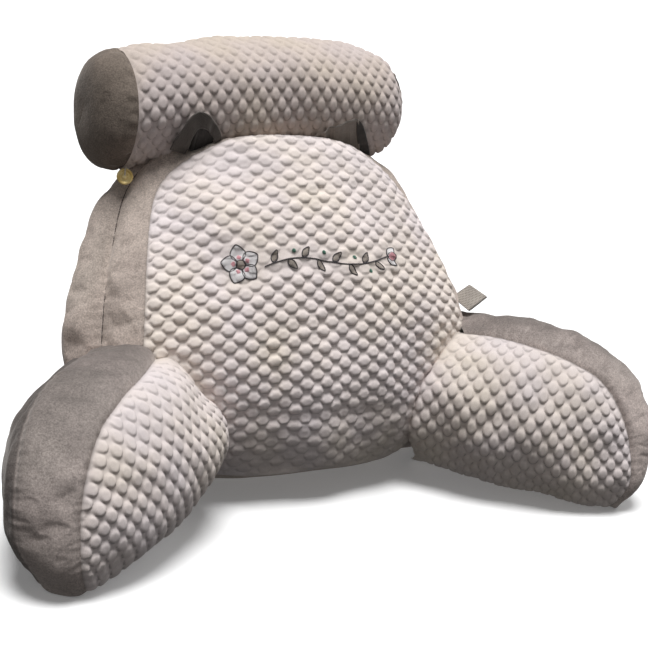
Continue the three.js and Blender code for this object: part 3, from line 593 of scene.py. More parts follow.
def panel_relief(u, v, amp=1.0):
    h, rho, fold = bubble(*panel_lattice(u, v), ACROSS * HEX, HEX)
    amp = amp * (1 - 0.30 * smooth(20, 120, v)) * (1 - 0.35 * smooth(130, 190, v)) * (0.42 + 0.58 * smooth(-122, -94, v))
    high = (h * RISE - 0.45 * RISE) * amp * (1 - 0.6 * calm(u, v))
    return high, fold * amp * (1 - 0.75 * calm(u, v))


def panel_swell(u, v):
    sag = -2.6 * np.exp(-((v + 99 + 0.03 * u) / 7.0) ** 2) * (1 - smooth(80, 125, np.abs(u)))
    return 1.3 * waves(np.stack([u, v], -1), 95.0, 3) + 0.45 * waves(np.stack([u, v * 1.5], -1), 30.0, 4) + sag


BLOOM = (-92.0, 66.0)
vine_v = lambda u: 64.0 + 6.5 * np.sin((u + 72.0) / 25.0) + 0.05 * u
foot_fade = smooth(0.0, 7.0, j * (CORNER_V - BOTTOM_V))
amp = smooth(0.0, 3.5, dist) * (0.45 + 0.55 * smooth(0, 10, droot)) * foot_fade
relief, fold = panel_relief(u, v, amp)
relief += panel_swell(u, v) * smooth(0.0, 20.0, dist) * foot_fade
P = P + Nn * relief[..., None]
P, _ = pulled(P, front_seam_line, 5.5, 1.0, 0.16, 5)
P, _ = pulled(P, root_seam_r, 7.0, 0.7)
P, _ = pulled(P, root_seam_l, 7.0, 0.7)
front = sheet_mesh("front_panel_quilt", P, (0, -1, 0.3))
note(front, "cloth", np.stack([u, v, np.zeros_like(u)], -1), True)
# painted shade: darkens the bubbles' lower edges and the creases along the front seam and the arm roots
painted_crease_shade = lambda d, w=1.5: np.exp(-(d / w) ** 2)
note(front, "dip", np.maximum(np.maximum(fold, 0.9 * painted_crease_shade(dist)), painted_crease_shade(droot, 2.0)))
# painted light and shade: the front's cloth is made lighter towards the top and darker towards the bottom and the right
note(front, "tone", (1.02 + 0.07 * smooth(-60, 140, v)) * (0.82 + 0.18 * smooth(-135, -92, v)) * (1 - 0.09 * smooth(30, 120, u)))
panel_surface = (u, v, P, Nn)

# ------------------------------------------------------------------ backrest shell
def soften(p, n, seed, big=1.6, small=0.5):
    return p + n * (big * waves(p, 120.0, seed) + small * waves(p, 42.0, seed + 1))[..., None]


def shell(p, hint, seed, keep=1.0):
    """The shell's soft swell, along directions that all its pieces share, so they stay joined at the seams."""
    core = np.stack([np.clip(p[..., 0], -70, 70), np.full(p.shape[:-1], 118.0), np.clip(p[..., 2], 70, 260)], -1)
    n = unit(p - core)
    r = 1.6 * waves(p, 110.0, 21) + 0.7 * waves(p, 38.0, 22)
    d_front, d_back = front_seam_line.near(p, 40)[0], back_seam_line.near(p, 40)[0]
    r *= smooth(2.0, 40.0, p[..., 2]) * smooth(0, 16, d_front) * (0.25 + 0.75 * smooth(0, 14, d_back)) * keep
    q = p + n * r[..., None]
    q, _ = pulled(q, front_seam_line, 5.5, 1.0, 0.16, 5)
    q, _ = pulled(q, back_seam_line, 4.0, 1.0, 0.22, 7)
    q[..., 2] = np.maximum(q[..., 2], 0.4)
    return q


centre = np.array([0, 120.0, 150.0])
out = lambda q: q - centre
under2 = under.copy()
patches = [(shell(band, out, 1), out, False), (shell(full, out, 1), out, False),
           (shell(back, (0, 1, 0.2), 1), (0, 1, 0.2), False),
           (shell(under, (0, -0.4, -1), 1, smooth(0, 0.3, tt)[None]), (0, -0.4, -1), False), (shell(base, (0, 0, -1), 1), (0, 0, -1), False)]
back_shell = joined("backrest_velvet", patches)

# ------------------------------------------------------------------ arms
ARM_ROWS, ARM_PITCH = 11.3 / 1.5, 17.8 / math.sqrt(3)


def fitted(p, e, guess, sure):
    """A length over a grid of points whose steps follow the directions e as nearly as they can (least squares)."""
    si = ((p[1:] - p[:-1]) * (e[1:] + e[:-1]) / 2).sum(-1)
    sj = ((p[:, 1:] - p[:, :-1]) * (e[:, 1:] + e[:, :-1]) / 2).sum(-1)
    li = np.maximum(np.linalg.norm(p[1:] - p[:-1], axis=-1), 1e-2)
    lj = np.maximum(np.linalg.norm(p[:, 1:] - p[:, :-1], axis=-1), 1e-2)
    wi = np.clip(np.median(lj) / li, 0.1, 10) * (sure[1:] + sure[:-1]) / 2
    wj = np.clip(np.median(li) / lj, 0.1, 10) * (sure[:, 1:] + sure[:, :-1]) / 2

    def spread(di, dj):
        out_ = np.zeros(guess.shape)
        out_[1:] += di
        out_[:-1] -= di
        out_[:, 1:] += dj
        out_[:, :-1] -= dj
        return out_

    x = guess - guess.mean()
    r_ = spread(wi * (si - np.diff(x, axis=0)), wj * (sj - np.diff(x, axis=1)))
    d_, rr_ = r_.copy(), (r_ ** 2).sum()
    for _ in range(700):
        ad = spread(wi * np.diff(d_, axis=0), wj * np.diff(d_, axis=1))
        step_ = rr_ / max((d_ * ad).sum(), 1e-12)
        x += step_ * d_
        r_ -= step_ * ad
        new_ = (r_ ** 2).sum()
        if new_ < 1e-9:
            break
        d_ = r_ + d_ * (new_ / rr_)
        rr_ = new_
    return x + guess.mean()


def arm_pieces(side, name):
    m = np.array([float(side), 1, 1])
    seed = 30 if side > 0 else 60
    na, nb = num(250), num(176)
    i, j = np.meshgrid(np.linspace(-0.02, 1, na), np.linspace(0, 1, nb), indexing="ij")
    # rows even in length up the panel
    ii = np.clip(i, 0, 1)
    p = arm_inner(ii, j)
    p = p + np.array([0.1, 1.0, 0])[None, None] * (np.minimum(i, 0) * -450.0 * smooth(6, 34, p[..., 2]))[..., None]
    up = np.concatenate([np.zeros((na, 1)), np.cumsum(np.linalg.norm(np.diff(p, axis=1), axis=-1), 1)], 1)
    # even spacing of the rows
    tj = np.linspace(0, 1, nb)
    q = np.empty_like(p)
    uu = np.empty_like(up)
    for a in range(na):
        s = up[a] / up[a, -1]
        for k in range(3):
            q[a, :, k] = np.interp(tj, s, p[a, :, k])
        uu[a] = tj * up[a, -1]
    p = q
    n = grid_normals(p, INWARD)
    axis = np.array([0.725, -0.689, 0.0])
    run = np.concatenate([np.zeros((1, nb)), np.cumsum(np.linalg.norm(np.diff(p, axis=0), axis=-1), 0)])
    lon = ((p[4] - np.array([150, 12, 0])) @ axis)[None] + run - run[4][None]
    # the cloth was cut flat: its two directions, one along the arm and one round it, are fitted to the surface
    along_arm = axis - n * (n @ axis)[..., None]
    sure = np.clip((along_arm ** 2).sum(-1), 0.02, 1.0)
    along_arm = unit(along_arm)
    round_arm = np.cross(n, along_arm)
    if (round_arm * np.gradient(p, axis=1)).sum(-1).mean() < 0:
        round_arm = -round_arm
    lon = fitted(p, along_arm, lon, sure)
    uu = fitted(p, round_arm, uu, sure)
    uu = uu - uu[10:-60, 0].mean()
    h, rho, fold = bubble((uu + 3.0) / ARM_ROWS, (lon + 4.0) / ARM_PITCH, ARM_ROWS, ARM_PITCH, (-1.0, 0.0), 0.85)
    dseam, _ = arm_seam_in.near(p, 40)
    droot, _ = root_seam_r.near(p, 40)
    amp = smooth(0.0, 5.0, dseam) * (0.35 + 0.65 * smooth(0, 16, droot)) * smooth(-2, 14, p[..., 2]) * (1 - 0.45 * smooth(0.6, 0.95, tj))[None]
    relief = (h * RISE - 0.45 * RISE) * amp + (1.2 * waves(p, 70.0, seed + 3) + 0.4 * waves(p, 26.0, seed + 4)) * smooth(0, 18, dseam)
    p = p + n * relief[..., None]
    p, _ = pulled(p, arm_seam_in, 5.0, 1.0, 0.09, seed)
    p, _ = pulled(p, root_seam_r, 9.0, 1.2)
    p[..., 2] = np.maximum(p[..., 2], 0.5)
    quilt = sheet_mesh("arm_%s_quilt" % name, p * m, INWARD * m)
    note(quilt, "cloth", np.stack([lon, uu, np.zeros_like(uu)], -1), True)
    # painted shade: darkens the bubbles' lower edges, the crease along the inner seam (more on the right arm) and the
    # crease at the root
    note(quilt, "dip", np.maximum(fold * amp, np.maximum((1.15 if side > 0 else 0.8) * np.exp(-(dseam / (2.3 if side > 0 else 1.6)) ** 2), np.exp(-(droot / 2.4) ** 2))))
    # painted shade: the arms' quilt is made evenly darker (0.93)
    note(quilt, "tone", np.full(uu.size, 0.93))

    # velvet: gusset, outer panel, underside, and the end hidden in the backrest
    io, jo = np.meshgrid(np.linspace(0, 1, 110), np.linspace(0, 1, 80), indexing="ij")
    outer = arm_outer(io, jo)
    # the outer panel's edge is moved onto the smoothed seam
    top_e = np.stack([np.interp(np.linspace(0, top_share, 110), share, arm_out[:, k]) for k in range(3)], -1)
    tip_e = np.stack([np.interp(top_share + (1 - np.linspace(0, 1, 80)) * (1 - top_share), share, arm_out[:, k]) for k in range(3)], -1)
    outer = outer + (top_e - outer[:, -1])[:, None] * (jo ** 14)[..., None]
    outer = outer + (tip_e - outer[-1])[None] * (io ** 14)[..., None]
    ahead_in = np.vstack([arm_in, arm_in[-1:] + [[0, 0, 0]]])
    hintb = lambda q: q - np.array([262, 0, 70.0])
    bot_in = arm_inner(np.linspace(0, 1, 110), np.zeros(110))
    bot_out = outer[:, 0]
    tq = np.linspace(0, 1, 20)
    bottom = bot_in[:, None] * (1 - tq)[None, :, None] + bot_out[:, None] * tq[None, :, None]
    bottom[..., 2] *= (1 - np.sin(math.pi * tq) * 0.9)[None]

    # the arm's rear end, from the outer panel round into the backrest
    tr = np.linspace(0, 1, 24)
    rear = outer[0][:, None] + np.array([-46.0, -4.0, 0.0]) * tr[None, :, None] + np.array([0, 6.0, 0]) * np.sin(math.pi * tr)[None, :, None]

    def cloth(p, hint):
        spine = np.array([150, 85, 80.0]) + np.array([175, -185, -10.0]) * np.clip(((p - [150, 85, 80]) @ np.array([175, -185, -10.0])) / 65000.0, 0.05, 0.9)[..., None]
        n = unit(p - spine)
        r = 1.5 * waves(p, 85.0, seed + 5) + 0.65 * waves(p, 30.0, seed + 6)
        r *= smooth(2.0, 30.0, p[..., 2]) * smooth(0, 16, arm_seam_in.near(p, 40)[0]) * (0.25 + 0.75 * smooth(0, 12, arm_seam_out.near(p, 40)[0]))
        q = p + n * r[..., None]
        q, _ = pulled(q, arm_seam_in, 5.0, 1.0, 0.09, seed)
        q, _ = pulled(q, arm_seam_out, 5.0, 1.0, 0.30, seed + 9)
        q[..., 2] = np.maximum(q[..., 2], 0.4)
        return q
    hint_out = (OUTWARD + np.array([0, 0, 0.1])) * m
    patches = [(cloth(arm_band, hintb) * m, lambda q: q - np.array([262, 0, 70.0]) * m, False),
               (cloth(outer, OUTWARD) * m, hint_out, False),
               (cloth(bottom, (0, 0, -1)) * m, (0, 0, -1), False),
               (cloth(rear, (0.3, 1, 0)) * m, np.array([0.3, 1, 0]) * m, False)]
    velvet = joined("arm_%s_velvet" % name, patches)
    return quilt, velvet


arms = {name: arm_pieces(side, name) for side, name in ((1, "right"), (-1, "left"))}

# ------------------------------------------------------------------ neck roll
nx, na = num(270), num(350)
TURN = 8.0      # the wrap turns in round the roll's right end by this much
turned = lambda x: 9.0 * smooth(-9.0, TURN + 3.0, x - ROLL["mid"] - ROLL["half"]) ** 1.6
xs = np.linspace(ROLL["mid"] - ROLL["half"], ROLL["mid"] + ROLL["half"] + TURN, nx)
an = np.linspace(0, 2 * math.pi, na, endpoint=False)
X, AN = np.meshgrid(xs, an, indexing="ij")
rows_round = 38
edge = np.minimum(X - xs[0], xs[-1] - X)
h, rho, fold = bubble((AN / (2 * math.pi) * rows_round + 0.28) * 1.5, (X + 5.5) / 9.24, 7.31, 9.24, (-np.cos(AN), 0.0), 0.85)
ampr = smooth(0.0, 6.0, edge) * (1 - 0.5 * np.maximum(np.sin(AN), 0) ** 1.5)
r = roll_radius(np.minimum(X, ROLL["mid"] + ROLL["half"])) - turned(X) + 0.9 * (h * RISE - 0.45 * RISE) * ampr - 1.5 * np.exp(-(edge / 4.0) ** 2)
unroll = np.stack([X, 60 * np.cos(AN), 60 * np.sin(AN)], -1)
r += 1.2 * waves(unroll, 90.0, 80) + 0.4 * waves(unroll, 30.0, 81)
RP = roll_point(X, AN, r)
RP2 = np.concatenate([RP, RP[:, :1]], 1)
RP2 = np.transpose(RP2, (1, 0, 2))[:-1]
wrap = sheet_mesh("neck_roll_quilt", RP2, lambda q: q - np.array([ROLL["mid"], ROLL["y"] + 6, ROLL["z"]]), wrap_i=True)
note(wrap, "cloth", np.transpose(np.stack([X, AN * 63, np.zeros_like(X)], -1), (1, 0, 2)), True)
# painted shade: darkens the bubbles' lower edges, less on the roll's upper half
note(wrap, "dip", (fold * ampr * (1 - 0.6 * np.maximum(np.sin(AN), 0))).T)
# painted shade: the roll's quilt is made evenly darker (0.775)
note(wrap, "tone", np.full(X.size, 0.775))

caps = []
for side, name in ((-1, "left"), (1, "right")):
    f = np.linspace(0, 1, 46)
    turn = TURN if side > 0 else 0.0
    x = ROLL["mid"] + side * (ROLL["half"] + turn + max(DOMED[side] - turn, 3.0) * np.sin(f * math.pi / 2))
    rr = (roll_radius(ROLL["mid"] + side * ROLL["half"]) - turned(x[0])) * np.maximum(np.cos(f * math.pi / 2), 0) ** DOME_POWER[side]
    an = np.linspace(0, 2 * math.pi, 150, endpoint=False)
    Xc, Ac = np.meshgrid(x, an, indexing="ij")
    Rc = np.repeat(rr[:, None], 150, 1)
    away = np.abs(Xc - (ROLL["mid"] + side * (ROLL["half"] + turn)))
    p = roll_point(Xc, Ac, Rc)
    soft = 1.0 * waves(p, 60.0, 90 + side) + 0.4 * waves(p, 22.0, 93 + side)
    puck = 0.7 * waves(np.stack([np.cos(Ac) * 8, np.sin(Ac) * 8], -1), 2.0, 97 + side) * np.exp(-(away / 9.0) ** 2)
    fade = smooth(0.0, 12.0, Rc)
    Rc = np.maximum(Rc + (soft + puck) * fade * smooth(0, 2, away) - 1.5 * np.exp(-(away / 4.0) ** 2), 0.01)
    p = roll_point(Xc, Ac, Rc)
    p = np.transpose(p, (1, 0, 2))
    cap = sheet_mesh("neck_roll_cap_%s" % name, p, lambda q: q - roll_axis(np.array(ROLL["mid"] + side * ROLL["half"] * 0.9)), wrap_i=True)
    caps.append(cap)


# ------------------------------------------------------------------ small parts
def tube(name, points, radius, sides=10, wobble=0.0):
    """A closed round cord along points; radius may vary."""
    p = np.asarray(points, float)
    n = len(p)
    r = np.broadcast_to(np.asarray(radius, float), (n,)).copy()
    t = unit(np.gradient(p, axis=0))
    ref = np.tile(np.array([0.31, 0.2, 0.93]), (n, 1))
    a = unit(ref - t * (ref * t).sum(-1, keepdims=True))
    b = np.cross(t, a)
    pts, rad = [p[0] - t[0] * r[0] * k for k in (1.0, 0.87, 0.5)], [r[0] * k for k in (0.05, 0.5, 0.87)]
    fa, fb = [a[0]] * 3, [b[0]] * 3
    pts += list(p); rad += list(r); fa += list(a); fb += list(b)
    pts += [p[-1] + t[-1] * r[-1] * k for k in (0.5, 0.87, 1.0)]
    rad += [r[-1] * k for k in (0.87, 0.5, 0.05)]
    fa += [a[-1]] * 3; fb += [b[-1]] * 3
    pts, rad, fa, fb = map(np.array, (pts, rad, fa, fb))
    ang = np.linspace(0, 2 * math.pi, sides, endpoint=False)
    g = pts[None] + (fa[None] * np.cos(ang)[:, None, None] + fb[None] * np.sin(ang)[:, None, None]) * rad[None, :, None]
    return sheet_mesh(name, g, lambda q: q - pts[None], wrap_i=True)


def grids(name, parts):
    """One mesh of many grids, each (points, centre line or hint, wrap)."""
    pts, faces, base = [], [], 0
    for p, hint, wrap in parts:
        n = grid_normals(p, hint, wrap)
        a = (np.roll(p, -1, 0) - p)[:-1, :-1]
        b = (p[:, 1:] - p[:, :-1])[:-1]
        flip = (np.cross(a, b) * n[:-1, :-1]).sum() < 0
        faces.append(quads(p.shape[0], p.shape[1], base, wrap, flip))
        pts.append(p.reshape(-1, 3))
        base += p.shape[0] * p.shape[1]
    return make(name, np.concatenate(pts), np.concatenate(faces))


def capsule(a, b, r, sides=8):
    """Grid of one short thread between two points."""
    a, b = np.asarray(a, float), np.asarray(b, float)
    t = unit(b - a)
    ref = np.array([0.3, 0.5, 0.8]); ref = unit(ref - t * (ref @ t))
    o = np.cross(t, ref)
    L = np.linalg.norm(b - a)
    s = np.array([-0.98, -0.7, 0, L / r, L / r + 0.7, L / r + 0.98]) * r
    k = np.array([0.2, 0.72, 1.0, 1.0, 0.72, 0.2]) * r
    ang = np.linspace(0, 2 * math.pi, sides, endpoint=False)
    c = a + t * s[:, None]
    g = c[None] + (ref * np.cos(ang)[:, None, None] + o * np.sin(ang)[:, None, None]) * k[None, :, None]
    return g, (lambda q, c=c: q - c[None]), True


def strap(name, centre, across, normal, width, thick, curl=0.0, ribs=0.0):
    """A woven strap: centre line, direction across, outward normal, width and thickness in millimetres."""
    c, s, n = (np.asarray(q, float) for q in (centre, across, normal))
    m = len(c)
    w = np.broadcast_to(np.asarray(width, float), (m,))
    s = unit(s); n = unit(n - s * (n * s).sum(-1, keepdims=True))
    prof = []
    for x in np.linspace(-1, 1, 13):
        prof.append((x, 0.5 * (1 - abs(x) ** 8) ** 0.5))
    for x in np.linspace(1, -1, 13)[1:-1]:
        prof.append((x, -0.5 * (1 - abs(x) ** 8) ** 0.5))
    prof = np.array(prof)
    taper = np.ones(m)
    g = (c[None] + s[None] * (prof[:, 0, None] * w[None] * 0.5)[..., None]
         + n[None] * (prof[:, 1, None] * thick * taper[None] + curl * (prof[:, 0, None] ** 2))[..., None])
    if ribs:
        run = np.concatenate([[0], np.cumsum(np.linalg.norm(np.diff(c, axis=0), axis=1))])
        wave = 0.22 * np.cos(run * 2 * math.pi / ribs)
        g = g + n[None] * (np.sign(prof[:, 1, None]) * wave[None])[..., None]
    first, last = g[:, :1].mean(0, keepdims=True), g[:, -1:].mean(0, keepdims=True)
    g = np.concatenate([first + (g[:, :1] - first) * 0.1, g, last + (g[:, -1:] - last) * 0.1], 1)
    mid = g.mean(0)
    return sheet_mesh(name, g, lambda q: q - mid[None], wrap_i=True)


def on_roll(x, below, up):
    """A place on the roll by x and degrees below the line that faces the sitter; up is the height over the cloth."""
    a = math.pi + np.radians(below)
    return roll_point(x, a, roll_radius(x) + up)


def tie(name, upper, lower, high, seed, folds=0.6):
    """A ribbon between two edges on the roll, each a row of (x, degrees below the front line)."""
    n = 120
    t = np.linspace(0, 1, n)
    eu = curve3(np.column_stack([np.array(upper, float), np.zeros(len(upper))]))(t)
    el = curve3(np.column_stack([np.array(lower, float), np.zeros(len(lower))]))(t)
    lift = np.interp(t, np.linspace(0, 1, len(high)), high)
    pu, pl = on_roll(eu[:, 0], eu[:, 1], lift), on_roll(el[:, 0], el[:, 1], lift)
    c = (pu + pl) / 2
    axis = roll_axis(c[:, 0])
    nrm = unit(c - axis)
    c = c + nrm * (folds * waves(t[:, None] * 100, 26.0, seed))[:, None]
    return strap(name, c, pu - pl, nrm, np.linalg.norm(pu - pl, axis=1), 0.9, curl=0.25)


ties = [
    tie("tie_left", [(-137, 33), (-135, 22.2), (-130.5, 14), (-123.5, 3.5), (-117.5, -0.2), (-111, -1.5), (-102, 1.8), (-95.5, 7.5), (-88, 15.5), (-81.5, 26), (-78, 34)],
        [(-117, 41), (-116, 30.8), (-116, 23.2), (-113.5, 16.5), (-110, 13.8), (-105.5, 13.8), (-101.5, 15.5), (-97.5, 18.8), (-93, 23), (-90, 28.8), (-87, 38)],
        [4.2, 5.2, 6.0, 5.6, 4.6], 7),
    tie("tie_left_fold", [(-118, 19), (-112, 12.5), (-105.5, 11.5), (-98, 15.5), (-90, 25.5)],
        [(-118, 37), (-112, 38), (-105.5, 38.5), (-98, 38), (-88, 36)],
        [2.4, 3.4, 2.8], 12, 0.6),
    tie("tie_right", [(28, 31), (34, 25.5), (42, 20.5), (52, 16), (61, 13), (70, 10), (77.5, 8), (83.5, 7.6)],
        [(33, 36), (47.5, 41), (61, 45), (72.5, 46.2), (82.5, 46), (91, 44.5), (97, 43), (101, 41)],
        [4.4, 5.6, 6.6, 6.8], 8, 0.8),
    tie("tie_right_fold", [(84.5, 8.8), (92.5, 13.6), (99, 20.2), (106, 28.5), (116, 39.8), (125, 50)],
        [(81.5, 9.2), (84.5, 16.8), (89, 25.2), (95.5, 34.5), (103.5, 44.8), (110, 53)],
        [5.8, 5.2, 4.8, 4.6], 9, 0.3),
]

# The button: a turned metal piece with a raised rim and a boss, on a short thread.
BUTTON = dict(radius=8.6, at=np.array([-180, 143, 323.0]), facing=unit(np.array([-0.379, -0.908, 0.18])))
prof = np.array([(0.02, -1.6), (2.5, -1.7), (5.5, -1.5), (7.6, -1.0), (8.45, -0.2), (8.6, 0.6), (8.4, 1.35), (7.9, 1.8), (7.2, 1.9),
                 (6.6, 1.65), (6.2, 1.1), (5.8, 0.7), (5.0, 0.5), (4.0, 0.5), (3.4, 0.7), (3.05, 1.2), (2.7, 1.75), (2.1, 2.1),
                 (1.2, 2.25), (0.02, 2.3)])
fine = curve3(np.column_stack([prof, np.zeros(len(prof))]))(np.linspace(0, 1, 70))
ang = np.linspace(0, 2 * math.pi, 72, endpoint=False)
bz = BUTTON["facing"]
bx = unit(np.cross([0, 0, 1.0], bz)); by = np.cross(bz, bx)
rb, zb = np.maximum(fine[:, 0], 0.01), fine[:, 1]
flute = 1 + 0.012 * np.cos(ang * 24)[:, None] * smooth(6.6, 8.4, rb)[None]
g = (BUTTON["at"] + (bx * np.cos(ang)[:, None, None] + by * np.sin(ang)[:, None, None]) * (rb[None] * flute)[..., None] + bz * zb[None, :, None])
button = sheet_mesh("roll_button_brass", g, lambda q: q - BUTTON["at"] - bz * 0.2, wrap_i=True)
tail = np.array([BUTTON["at"] + bz * 2.3 + by * 1.5, BUTTON["at"] + bz * 2.6 + by * 4, BUTTON["at"] + bz * 1.9 + by * 7.6,
                 BUTTON["at"] - bz * 0.5 + by * 9.3 + bx * 0.6, BUTTON["at"] - bz * 2.0 + by * 10.2 + bx * 1.4])
thread_tail = tube("roll_button_thread", curve3(tail)(np.linspace(0, 1, 40)), 0.75, 8)

# ------------------------------------------------------------------ embroidery
def on_panel(u, v, up):
    """A place on the quilted front by its cloth millimetres, up above the cloth."""
    u, v, up = np.broadcast_arrays(np.asarray(u, float), np.asarray(v, float), np.asarray(up, float))
    e = 0.5
    n = unit(np.cross(front_point(u + e, v) - front_point(u - e, v), front_point(u, v + e) - front_point(u, v - e)))
    n = np.where((n @ np.array([0, -1, 0.3]))[..., None] < 0, -n, n)
    return front_point(u, v) + n * (panel_relief(u, v)[0] + panel_swell(u, v) + up)[..., None]


def strand(u, v, up, r, sides=6):
    """Grid of one thread that follows the cloth."""
    c = on_panel(u, v, up)
    t = unit(np.gradient(c, axis=0))
    ref = np.array([0.3, 0.5, 0.8])
    a = unit(ref - t * (t @ ref)[:, None])
    b = np.cross(t, a)
    r = np.broadcast_to(np.asarray(r, float), (len(c),)) * np.concatenate([[0.25], np.ones(len(c) - 2), [0.25]])
    ang = np.linspace(0, 2 * math.pi, sides, endpoint=False)
    g = c[None] + (a[None] * np.cos(ang)[:, None, None] + b[None] * np.sin(ang)[:, None, None]) * r[None, :, None]
    return g, (lambda q, c=c: q - c[None]), True


def satin(outline, turn, seed, pitch=0.62, r=0.40, puff=0.55):
    """Side-by-side threads that fill an outline of cloth millimetres, lying at the angle turn."""
    rng = np.random.RandomState(seed)
    o = np.asarray(outline, float)
    c, s = math.cos(turn), math.sin(turn)
    q = o @ np.array([[c, -s], [s, c]])
    out = []
    for y in np.arange(q[:, 1].min() + 0.3, q[:, 1].max() - 0.2, pitch):
        a, b = q, np.roll(q, -1, 0)
        hit = (a[:, 1] - y) * (b[:, 1] - y) < 0
        if hit.sum() < 2:
            continue
        x = a[hit, 0] + (y - a[hit, 1]) / (b[hit, 1] - a[hit, 1]) * (b[hit, 0] - a[hit, 0])
        x0, x1 = x.min() - 0.25 * rng.rand(), x.max() + 0.25 * rng.rand()
        n = max(4, int((x1 - x0) / 1.5) + 2)
        t = np.linspace(0, 1, n)
        X = x0 + (x1 - x0) * t
        Y = np.full(n, y) + 0.06 * rng.normal()
        U, V = X * c - Y * s, X * s + Y * c
        out.append(strand(U, V, 0.05 + puff * np.sin(math.pi * t) ** 0.6, r, 5))
    return out


def line_stitch(u, v, r=0.62, lift=0.45):
    """A rope of short overlapping stitches along a drawn line."""
    d = np.concatenate([[0], np.cumsum(np.hypot(np.diff(u), np.diff(v)))])
    n = max(3, int(d[-1] / 0.8))
    t = np.linspace(0, d[-1], n)
    U, V = np.interp(t, d, u), np.interp(t, d, v)
    return [strand(U, V, lift, r * (1 + 0.16 * np.sin(t * 2 * math.pi / 2.4)), 7)]


def petal(cu, cv, turn, length, width, start=3.0, tip=0.0):
    """Outline of a petal or a leaf that points along the angle turn."""
    s = np.linspace(0, 1, 30)
    half = width / 2 * np.sin(math.pi * s ** 0.85) ** 0.8 * (1 - tip * s)
    along_, side = start + length * s, half
    x = np.concatenate([along_, along_[::-1]])
    y = np.concatenate([side, -side[::-1]])
    c, s_ = math.cos(turn), math.sin(turn)
    return np.stack([cu + x * c - y * s_, cv + x * s_ + y * c], -1)


def ring_line(o):
    o = np.concatenate([o, o[:2]])
    return line_stitch(o[:, 0], o[:, 1], 0.55, 0.5)


def disc(cu, cv, r, turn=0.0):
    a = np.linspace(0, 2 * math.pi, 28, endpoint=False)
    return np.stack([cu + r * np.cos(a), cv + r * np.sin(a)], -1)


work = {"white": [], "rose": [], "taupe": [], "green": [], "charcoal": []}
for k in range(5):
    turn = math.radians(90 + 72 * k + 8)
    work["white"] += satin(petal(*BLOOM, turn, 17.0, 15.5, 4.0), turn, 11 + k)
    work["rose"] += satin(petal(*BLOOM, turn, 6.5, 5.0, 5.0), turn, 31 + k, puff=1.15)
    work["charcoal"] += ring_line(petal(*BLOOM, turn, 17.8, 16.6, 3.6))
work["taupe"] += satin(disc(*BLOOM, 4.6), 0.5, 51, puff=1.0)
work["charcoal"] += ring_line(disc(*BLOOM, 4.9))
stem_u = np.linspace(-67, 88, 160)
work["charcoal"] += line_stitch(stem_u, vine_v(stem_u), 0.68, 0.45)
for k, (su, sgn) in enumerate(((-58, 1), (-42, -1), (-24, 1), (-6, -1), (12, 1), (31, -1), (50, 1), (67, -1))):
    slope = math.atan2(float(vine_v(su + 1.0) - vine_v(su - 1.0)), 2.0)
    turn = slope + sgn * math.radians(52)
    leaf = petal(su, float(vine_v(su)), turn, 13.0, 6.6, 1.6, 0.15)
    work["taupe"] += satin(leaf, turn + math.radians(62), 70 + k, puff=0.45)
    work["charcoal"] += ring_line(petal(su, float(vine_v(su)), turn, 13.8, 7.6, 1.2, 0.15))
for k, (gu, gv) in enumerate(((-33, 8), (3, 9), (40, 8), (59, -9))):
    work["green"] += satin(disc(gu, float(vine_v(gu)) + gv, 2.3), 0.8, 90 + k, puff=0.9)
for k, turn in enumerate((math.radians(-38), math.radians(0), math.radians(38))):
    work["rose" if k == 1 else "white"] += satin(petal(88.0, float(vine_v(88.0)), turn, 15.0, 9.0, 1.0), turn, 101 + k, puff=0.6 + 0.4 * (k == 1))
    work["charcoal"] += ring_line(petal(88.0, float(vine_v(88.0)), turn, 15.6, 9.8, 0.8))
embroidery = [grids("embroidery_%s" % k, parts) for k, parts in work.items()]

# The side loop: a folded piece of ribbed ribbon.
TAB = dict(a=[202, 62, 198], b=[224, 62, 211.5], c=[209, 36, 188], d=[237, 42, 201.5])
ta, tb_, tc, td = (np.array(TAB[k], float) for k in "abcd")
root_mid, free_mid = (ta + tc) / 2, (tb_ + td) / 2
root_dir, free_dir = tc - ta, td - tb_
tn = unit(np.cross(tb_ - ta, tc - ta))
if tn[1] > 0:
    tn = -tn
t = np.linspace(0, 1, 96)
outward = free_mid - root_mid
legs = []
for sgn in (1, -1):
    legs.append(root_mid + outward * t[:, None] + tn * (sgn * (0.55 + 0.8 * np.sin(math.pi * t) * (1 - t)))[:, None])
loop_c = np.concatenate([legs[0], [free_mid + unit(outward) * 0.7], legs[1][::-1]])
loop_c = smooth_curve(loop_c, 1.5)
across = np.concatenate([root_dir + (free_dir - root_dir) * t[:, None], [free_dir], (root_dir + (free_dir - root_dir) * t[:, None])[::-1]])
w = np.linalg.norm(across, axis=1)
tl = unit(np.gradient(loop_c, axis=0))
loop_n = unit(np.cross(across, tl))
if (loop_n[10] @ tn) < 0:
    loop_n = -loop_n
side_loop = strap("side_loop_ribbon", loop_c, across, loop_n, w, 0.8, ribs=1.9)
